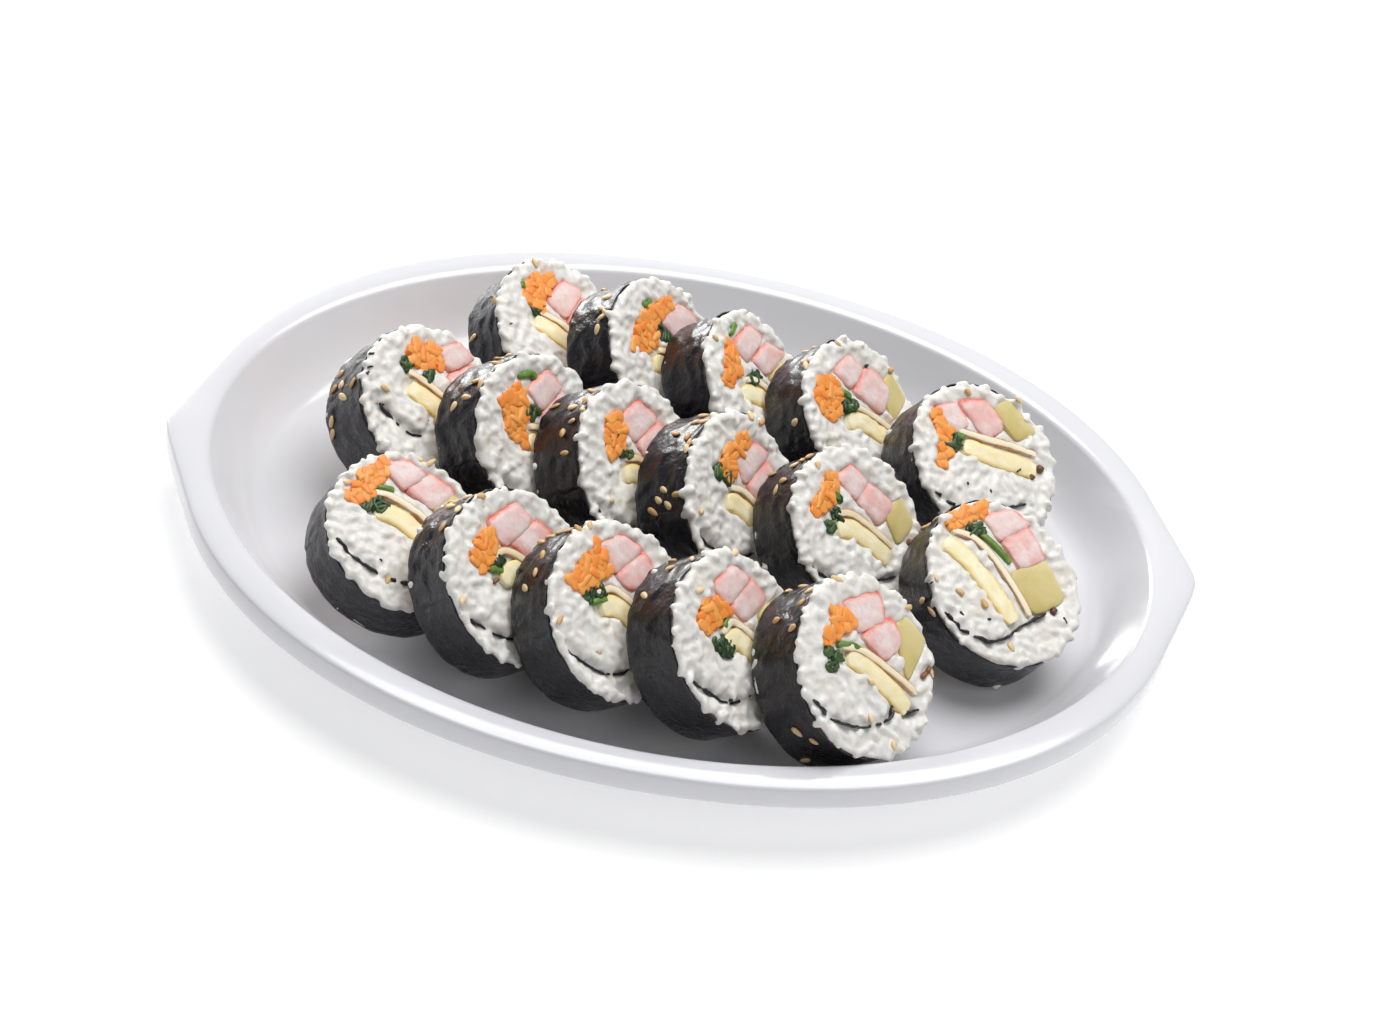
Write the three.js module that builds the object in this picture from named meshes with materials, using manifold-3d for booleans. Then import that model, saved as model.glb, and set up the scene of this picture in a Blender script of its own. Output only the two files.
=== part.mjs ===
// Sixteen slices of pork belly kimbap, shingled in three rows on a white oval platter.
// Millimetres, +Z up. The origin is under the middle of the platter's foot, +X runs along
// the platter and the front row lies on the -Y side.
import * as THREE from 'three';
import { mergeVertices } from 'three/addons/utils/BufferGeometryUtils.js';
import Module from 'manifold-3d';

const wasm = await Module();
wasm.setup();

// ---- the platter ----
const HALF_LENGTH = 135; // of the oval, without its pointed tabs
const HALF_WIDTH = 110.5;
const TIP_REACH = 141.5; // from the middle to where the two edges of a pointed tab would meet
const TIP_ROUNDING = 0.03; // how softly they do meet
const RIM_SQUARENESS = 2.09; // 2 is a true ellipse
const WELL_HALF_LENGTH = 128; // to the inner edge of the rim
const WELL_HALF_WIDTH = 102.8;
const RIM_HEIGHT = 23;
const RIM_CROWN = 0.5; // how far the flat rim swells between its edges
const LIP_DEPTH = 6.8; // of the rim's upright outer side
const FLOOR_HEIGHT = 7.4;
const FLOOR_THICKNESS = 4;
const FLOOR_INSET = 17; // from the rim's inner edge to where the wall runs out
const FOOT_INSET = 13.5; // from the rim's inner edge to the outer edge of the foot
const FOOT_WIDTH = 4;
const PLATTER_SIDES = 80;

// ---- the slices ----
const GAP = 0.35; // between neighbours that lie against each other
const RICE_PROUD = 0.9; // how far the rice swells out past the seaweed at both cut faces
const EDGE_ROLL = 1.6; // width of that swelling
const GRAIN_RELIEF = 0.9; // depth of the dimples between rice grains
const FLAP_STEP = 0.45; // where the seaweed ends and lies over itself
const FLAP_SPAN = 28; // degrees of double seaweed
const SLICE_SIDES = 40; // two for each grain at the edge
const SEED = { length: 3.2, width: 1.9, height: 1.1, sunk: 0.35 };
const SEEDS_PER_SLICE = 5;
const SEED_CLEARANCE = 1.6; // to a neighbouring slice

// Every row runs along +X. `heading` is the direction from the slice before, `turn` is where
// the cut face looks, seen from above, and `lean` is how far it looks up, all in degrees.
const ROWS = [
  {
    name: 'front',
    start: [-74, -42],
    slices: [
      { turn: -43, lean: 63, radius: 23.7, thickness: 17.0 },
      { turn: -33, lean: 46, radius: 24.3, thickness: 17.5, heading: -28 },
      { turn: -36, lean: 46, radius: 24.6, thickness: 17.7, heading: -15 },
      { turn: -30, lean: 42, radius: 24.2, thickness: 18.5, heading: -10 },
      { turn: -37, lean: 46, radius: 24.5, thickness: 19.6, heading: -4 },
    ],
  },
  {
    name: 'middle',
    start: [-75, 9],
    slices: [
      { turn: -35, lean: 53, radius: 23.5, thickness: 19.6 },
      { turn: -31, lean: 40, radius: 24.6, thickness: 18.0, heading: -17 },
      { turn: -30, lean: 41, radius: 24.4, thickness: 19.0, heading: -13 },
      { turn: -28, lean: 36, radius: 24.2, thickness: 19.0, heading: -12 },
      { turn: -36, lean: 47, radius: 24.1, thickness: 17.5, heading: -6 },
      { turn: -48, lean: 61, radius: 24.6, thickness: 17.0, heading: -13 },
    ],
  },
  {
    name: 'back',
    start: [-42, 52.5],
    slices: [
      { turn: -25, lean: 55, radius: 23.9, thickness: 16.0 },
      { turn: -23, lean: 41, radius: 24.1, thickness: 18.0, heading: -15 },
      { turn: -20, lean: 43, radius: 23.4, thickness: 17.6, heading: -15 },
      { turn: -28, lean: 48, radius: 23.3, thickness: 17.2, heading: -6 },
      { turn: -44, lean: 57, radius: 24.2, thickness: 18.0, heading: -16 },
    ],
  },
];

const RADIANS = Math.PI / 180;
const FULL_TURN = 2 * Math.PI;

// ---- closed meshes from rings ----

// A small seeded generator, so that every build draws the same grains and seeds.
function randomFrom(seed) {
  let state = seed >>> 0;
  return () => {
    state = (state + 0x6d2b79f5) >>> 0;
    let mixed = Math.imul(state ^ (state >>> 15), 1 | state);
    mixed = (mixed + Math.imul(mixed ^ (mixed >>> 7), 61 | mixed)) ^ mixed;
    return ((mixed ^ (mixed >>> 14)) >>> 0) / 4294967296;
  };
}

// Rings of points, listed from the middle of the underside outwards and over to the middle
// of the top, and each running anticlockwise seen from above. The first and last ring are
// single points. Neighbouring rings may have different counts.
function meshOfRings(rings) {
  const positions = [];
  const starts = [];
  for (const ring of rings) {
    starts.push(positions.length / 3);
    for (const point of ring) positions.push(...point);
  }
  const triangles = [];
  for (let band = 0; band + 1 < rings.length; band += 1) {
    const inner = rings[band].length;
    const outer = rings[band + 1].length;
    const low = (step) => starts[band] + (step % inner);
    const high = (step) => starts[band + 1] + (step % outer);
    let i = inner === 1 ? 1 : 0;
    let j = outer === 1 ? 1 : 0;
    while (i < inner || j < outer) {
      const lowTurn = i < inner ? (i + 1) / inner : Infinity;
      const highTurn = j < outer ? (j + 1) / outer : Infinity;
      if (lowTurn <= highTurn) {
        triangles.push(low(i), low(i + 1), high(j));
        i += 1;
      } else {
        triangles.push(low(i), high(j + 1), high(j));
        j += 1;
      }
    }
  }
  const geometry = new THREE.BufferGeometry();
  geometry.setAttribute('position', new THREE.Float32BufferAttribute(positions, 3));
  geometry.setIndex(triangles);
  return geometry;
}

function solidOf(geometry) {
  const bare = geometry.clone();
  bare.deleteAttribute('normal');
  bare.deleteAttribute('uv');
  const merged = mergeVertices(bare, 1e-4);
  return new wasm.Manifold(new wasm.Mesh({
    numProp: 3,
    vertProperties: Float32Array.from(merged.attributes.position.array),
    triVerts: Uint32Array.from(merged.index.array),
  }));
}

function geometryOf(solid) {
  const mesh = solid.getMesh();
  const geometry = new THREE.BufferGeometry();
  geometry.setAttribute('position', new THREE.Float32BufferAttribute(mesh.vertProperties, 3));
  geometry.setIndex(new THREE.Uint32BufferAttribute(mesh.triVerts, 1));
  geometry.computeVertexNormals();
  return geometry;
}

// ---- the platter's shape ----

function ovalPoint(halfLength, halfWidth, squareness, angle) {
  const power = 2 / squareness;
  return {
    x: halfLength * Math.sign(Math.cos(angle)) * Math.abs(Math.cos(angle)) ** power,
    y: halfWidth * Math.sign(Math.sin(angle)) * Math.abs(Math.sin(angle)) ** power,
  };
}

function ovalRing(halfLength, halfWidth, squareness, height) {
  const ring = [];
  for (let side = 0; side < PLATTER_SIDES; side += 1) {
    const angle = (side / PLATTER_SIDES) * FULL_TURN;
    const { x, y } = ovalPoint(halfLength, halfWidth, squareness, angle);
    ring.push([x, y, height]);
  }
  return ring;
}

function wellRing(inset, height) {
  return ovalRing(WELL_HALF_LENGTH - inset, WELL_HALF_WIDTH - inset, 2, height);
}

// Where the line from a tab's tip just touches the oval: its slope, and how far round it is.
function tabTangent() {
  const tangent = { slope: Infinity, across: 0 };
  for (let step = 1; step < 900; step += 1) {
    const angle = (step / 900) * (Math.PI / 2);
    const { x, y } = ovalPoint(HALF_LENGTH, HALF_WIDTH, RIM_SQUARENESS, angle);
    const slope = Math.atan((TIP_REACH - x) / y);
    if (slope < tangent.slope) {
      tangent.slope = slope;
      tangent.across = y / Math.hypot(x, y);
    }
  }
  return tangent;
}

// The outer edge: the oval, drawn out at both ends to a point along its own tangents.
function rimRing(inset, height) {
  const { slope, across: tangentAcross } = tabTangent();
  const oval = ovalRing(HALF_LENGTH - inset, HALF_WIDTH - inset, RIM_SQUARENESS, height);
  return oval.map(([x, y, z]) => {
    const reach = Math.hypot(x, y);
    const along = Math.abs(x) / reach;
    const across = Math.abs(y) / reach;
    const softened = Math.hypot(across, TIP_ROUNDING);
    const edge = TIP_REACH * Math.cos(slope) - inset;
    const tabReach = edge / (along * Math.cos(slope) + softened * Math.sin(slope));
    const isTab = along > 0.5 && across < tangentAcross && tabReach > reach;
    const stretch = isTab ? tabReach / reach : 1;
    return [x * stretch, y * stretch, z];
  });
}

function platterGeometry() {
  const underFloor = FLOOR_HEIGHT - FLOOR_THICKNESS;
  const underLip = RIM_HEIGHT - LIP_DEPTH;
  const depth = RIM_HEIGHT - FLOOR_HEIGHT;
  const footInner = FOOT_INSET + FOOT_WIDTH;
  return meshOfRings([
    [[0, 0, underFloor]],
    wellRing(footInner + 1, underFloor),
    wellRing(footInner, 0),
    wellRing(FOOT_INSET, 0),
    rimRing(4.2, underLip - 0.6),
    rimRing(0.9, underLip),
    rimRing(0, underLip + 1.2),
    rimRing(0, RIM_HEIGHT - 1.4),
    rimRing(0.9, RIM_HEIGHT),
    wellRing(-3.4, RIM_HEIGHT + RIM_CROWN),
    wellRing(0, RIM_HEIGHT),
    wellRing(1.6, RIM_HEIGHT - 0.12 * depth),
    wellRing(4.6, RIM_HEIGHT - 0.4 * depth),
    wellRing(8.2, RIM_HEIGHT - 0.7 * depth),
    wellRing(12.2, RIM_HEIGHT - 0.92 * depth),
    wellRing(FLOOR_INSET, FLOOR_HEIGHT),
    [[0, 0, FLOOR_HEIGHT]],
  ]);
}

// ---- where the slices lie ----

// The three directions of a slice: level across its face, up its face, and out of its face.
function directionsOf({ turn, lean }) {
  const across = new THREE.Vector3(-Math.sin(turn * RADIANS), Math.cos(turn * RADIANS), 0);
  const out = new THREE.Vector3(
    Math.cos(lean * RADIANS) * Math.cos(turn * RADIANS),
    Math.cos(lean * RADIANS) * Math.sin(turn * RADIANS),
    Math.sin(lean * RADIANS),
  );
  return { across, up: new THREE.Vector3().crossVectors(out, across), out };
}

// The height of a slice's middle when its lowest edge rests on the floor of the well.
function restingHeight({ lean, radius, thickness }) {
  const halfHeight = radius * Math.cos(lean * RADIANS) + (thickness / 2) * Math.sin(lean * RADIANS);
  return FLOOR_HEIGHT + GAP + halfHeight;
}

// How deep a point lies in a slice's plain drum. Outside the drum it is negative.
function depthIn(slice, point) {
  const offset = new THREE.Vector3().subVectors(point, slice.middle);
  const along = offset.dot(slice.out);
  const aside = offset.addScaledVector(slice.out, -along).length();
  return Math.min(slice.radius - aside, slice.thickness / 2 - Math.abs(along));
}

function drumPoints(slice) {
  const points = [];
  for (const along of [-0.5, -0.25, 0, 0.25, 0.5]) {
    for (const reach of Math.abs(along) === 0.5 ? [0.4, 0.7, 1] : [1]) {
      for (let step = 0; step < 72; step += 1) {
        const angle = (step / 72) * FULL_TURN;
        points.push(slice.middle.clone()
          .addScaledVector(slice.out, along * slice.thickness)
          .addScaledVector(slice.across, reach * slice.radius * Math.cos(angle))
          .addScaledVector(slice.up, reach * slice.radius * Math.sin(angle)));
      }
    }
  }
  return points;
}

function overlap(one, other) {
  const deepest = (slice, points) => Math.max(...points.map((point) => depthIn(slice, point)));
  return Math.max(deepest(one, drumPoints(other)), deepest(other, drumPoints(one)));
}

// Each slice is pushed along its row until it lies against the one before.
function layRow({ name, start, slices }) {
  const laid = [];
  for (const [index, sizes] of slices.entries()) {
    const slice = { ...sizes, ...directionsOf(sizes), name: `slice_${name}_${index + 1}` };
    slice.middle = new THREE.Vector3(start[0], start[1], restingHeight(sizes));
    if (index > 0) {
      const before = laid[index - 1];
      const heading = sizes.heading * RADIANS;
      slice.middle.x = before.middle.x;
      slice.middle.y = before.middle.y;
      const step = new THREE.Vector3(Math.cos(heading), Math.sin(heading), 0).multiplyScalar(0.25);
      slice.middle.addScaledVector(step, before.thickness * 2);
      while (overlap(before, slice) > -GAP) slice.middle.add(step);
    }
    laid.push(slice);
  }
  return laid;
}

// ---- one slice ----

function sliceGeometry(slice, random) {
  const { radius, thickness } = slice;
  const half = thickness / 2;
  const seaweed = radius - RICE_PROUD;
  const flapEnd = FULL_TURN * random();

  const ring = (count, reach, height) => {
    const points = [];
    for (let side = 0; side < count; side += 1) {
      const angle = (side / count) * FULL_TURN;
      const distance = reach(side, angle);
      const z = height(side, angle);
      points.push([distance * Math.cos(angle), distance * Math.sin(angle), z]);
    }
    return points;
  };
  // Grains stand up at every other corner of the edge.
  const grainEdge = (side) => radius - (side % 2) * 0.8 * RICE_PROUD - 0.3 * random();
  const band = (side, angle) => {
    const past = ((flapEnd - angle + FULL_TURN) % FULL_TURN) / RADIANS;
    return seaweed - 0.2 * random() - (past < FLAP_SPAN ? 0 : FLAP_STEP);
  };
  const dimple = () => half - GRAIN_RELIEF * random();
  const fixed = (value) => () => value;

  return meshOfRings([
    [[0, 0, -half + 0.3]],
    ring(10, fixed(0.34 * radius), () => -dimple()),
    ring(20, fixed(0.68 * radius), () => -dimple()),
    ring(SLICE_SIDES, grainEdge, fixed(-half + 0.35 * EDGE_ROLL)),
    ring(SLICE_SIDES, band, fixed(-half + EDGE_ROLL)),
    ring(SLICE_SIDES, band, fixed(half - EDGE_ROLL)),
    ring(SLICE_SIDES, grainEdge, fixed(half - 0.35 * EDGE_ROLL)),
    ring(SLICE_SIDES, fixed(0.86 * radius), dimple),
    ring(20, fixed(0.6 * radius), dimple),
    ring(10, fixed(0.3 * radius), dimple),
    [[0, 0, half - 0.4]],
  ]);
}

// A sesame seed: a flat drop, lying in the XY plane and pointing along +X.
function seedGeometry() {
  const geometry = new THREE.SphereGeometry(0.5, 6, 3);
  geometry.rotateX(Math.PI / 2);
  geometry.scale(SEED.length, SEED.width, SEED.height);
  return geometry;
}

// A place for a seed, on the seaweed or on the rice of the cut face.
function drawSeedPlace(slice, random) {
  const half = slice.thickness / 2;
  const angle = (50 + 150 * random()) * RADIANS;
  const outward = new THREE.Vector3(Math.cos(angle), Math.sin(angle), 0);
  const place = new THREE.Matrix4();
  const spin = new THREE.Matrix4().makeRotationZ(FULL_TURN * random());
  const onSeaweed = random() < 0.4;
  const lift = SEED.height / 2 - SEED.sunk * SEED.height;
  if (onSeaweed) {
    const along = new THREE.Vector3(0, 0, 1);
    const round = new THREE.Vector3().crossVectors(along, outward);
    place.makeBasis(round, along, outward);
    place.multiply(spin);
    const reach = slice.radius - RICE_PROUD - FLAP_STEP + lift;
    const height = (random() - 0.5) * (slice.thickness - 9);
    place.setPosition(outward.x * reach, outward.y * reach, height);
  } else {
    const reach = slice.radius * (0.55 + 0.3 * random());
    place.copy(spin);
    place.setPosition(outward.x * reach, outward.y * reach, half - 0.6 * GRAIN_RELIEF + lift);
  }
  return place;
}

function sliceMesh(slice, others, seed) {
  const random = randomFrom(seed);
  const pose = new THREE.Matrix4().makeBasis(slice.across, slice.up, slice.out);
  pose.setPosition(slice.middle);
  let solid = solidOf(sliceGeometry(slice, random));
  let placed = 0;
  for (let attempt = 0; attempt < 60 && placed < SEEDS_PER_SLICE; attempt += 1) {
    const place = drawSeedPlace(slice, random);
    const spot = new THREE.Vector3().setFromMatrixPosition(place).applyMatrix4(pose);
    const isClear = others.every((other) => depthIn(other, spot) < -SEED_CLEARANCE);
    const seeded = isClear ? solid.add(solidOf(seedGeometry().applyMatrix4(place))) : null;
    if (seeded && seeded.decompose().length === 1) {
      solid = seeded;
      placed += 1;
    }
  }
  const material = new THREE.MeshStandardMaterial({ color: 0xe6e3dc, roughness: 0.55, metalness: 0 });
  const mesh = new THREE.Mesh(geometryOf(solid), material);
  mesh.name = slice.name;
  mesh.applyMatrix4(pose);
  return mesh;
}

function platterMesh() {
  const geometry = platterGeometry();
  geometry.computeVertexNormals();
  const material = new THREE.MeshStandardMaterial({ color: 0xeceef2, roughness: 0.2, metalness: 0 });
  const mesh = new THREE.Mesh(geometry, material);
  mesh.name = 'platter';
  return mesh;
}

// ---- the whole dish ----
const kimbapPlatter = new THREE.Group();
kimbapPlatter.add(platterMesh());
const slices = ROWS.flatMap(layRow);
for (const [index, slice] of slices.entries()) {
  const others = slices.filter((other) => other !== slice);
  kimbapPlatter.add(sliceMesh(slice, others, 101 + index));
}

export default kimbapPlatter;
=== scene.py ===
import math
import random

import bmesh
import bpy
import numpy as np
from mathutils import Matrix, Vector, noise
from mathutils.bvhtree import BVHTree


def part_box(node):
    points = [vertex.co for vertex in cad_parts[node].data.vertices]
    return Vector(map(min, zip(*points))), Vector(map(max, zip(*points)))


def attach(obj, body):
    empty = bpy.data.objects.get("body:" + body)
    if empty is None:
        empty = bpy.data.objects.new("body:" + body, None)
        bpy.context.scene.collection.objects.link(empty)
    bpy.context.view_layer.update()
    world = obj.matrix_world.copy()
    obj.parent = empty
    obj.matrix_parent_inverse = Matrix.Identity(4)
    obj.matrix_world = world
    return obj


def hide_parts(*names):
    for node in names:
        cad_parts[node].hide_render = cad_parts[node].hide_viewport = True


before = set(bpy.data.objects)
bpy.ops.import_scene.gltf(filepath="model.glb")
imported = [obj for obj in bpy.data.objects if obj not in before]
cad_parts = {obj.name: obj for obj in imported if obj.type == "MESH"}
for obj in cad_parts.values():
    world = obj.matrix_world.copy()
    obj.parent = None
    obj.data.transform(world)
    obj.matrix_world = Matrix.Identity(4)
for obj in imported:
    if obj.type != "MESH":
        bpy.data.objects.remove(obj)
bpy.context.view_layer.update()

MM = 0.001

# ---- the photograph's view ----
LOOKS_AT = (0, 0, 23)
VIEW_AZIMUTH, VIEW_ELEVATION, VIEW_ROLL = -4.62, 38.01, 11.90
VIEW_DISTANCE = 1028
LENS = 98.58
VIEW_SHIFT = (0.0101, -0.0091)
FLOOR_REACH = 6  # metres from the middle, past what any view sees
LIGHTS_AIM = (0, 0, 0.02)  # metres

# ---- the platter, as in the solid that it stands for ----
HALF_LENGTH, HALF_WIDTH = 135, 110.5
TIP_REACH, TIP_ROUNDING = 141.5, 0.03
RIM_SQUARENESS = 2.09
WELL_HALF_LENGTH, WELL_HALF_WIDTH = 128, 102.8
RIM_HEIGHT, RIM_CROWN, LIP_DEPTH = 23, 0.5, 6.8
FLOOR_HEIGHT, FLOOR_THICKNESS, FLOOR_INSET = 7.4, 4, 17
FOOT_INSET, FOOT_WIDTH = 13.5, 4
WELL_WALL = ((0, 0), (1.6, .12), (4.6, .4), (8.2, .7), (12.2, .92))  # inset, share of its depth
PLATTER_SIDES = 240

# ---- the slices: where the cut face looks, how far up it looks, radius and thickness ----
SLICES = {
    "front_1": (-43, 63, 23.7, 17.0),
    "front_2": (-33, 46, 24.3, 17.5),
    "front_3": (-36, 46, 24.6, 17.7),
    "front_4": (-30, 42, 24.2, 18.5),
    "front_5": (-37, 46, 24.5, 19.6),
    "middle_1": (-35, 53, 23.5, 19.6),
    "middle_2": (-31, 40, 24.6, 18.0),
    "middle_3": (-30, 41, 24.4, 19.0),
    "middle_4": (-28, 36, 24.2, 19.0),
    "middle_5": (-36, 47, 24.1, 17.5),
    "middle_6": (-48, 61, 24.6, 17.0),
    "back_1": (-25, 55, 23.9, 16.0),
    "back_2": (-23, 41, 24.1, 18.0),
    "back_3": (-20, 43, 23.4, 17.6),
    "back_4": (-28, 48, 23.3, 17.2),
    "back_5": (-44, 57, 24.2, 18.0),
}
ROWS = ("front", "middle", "back")

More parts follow.
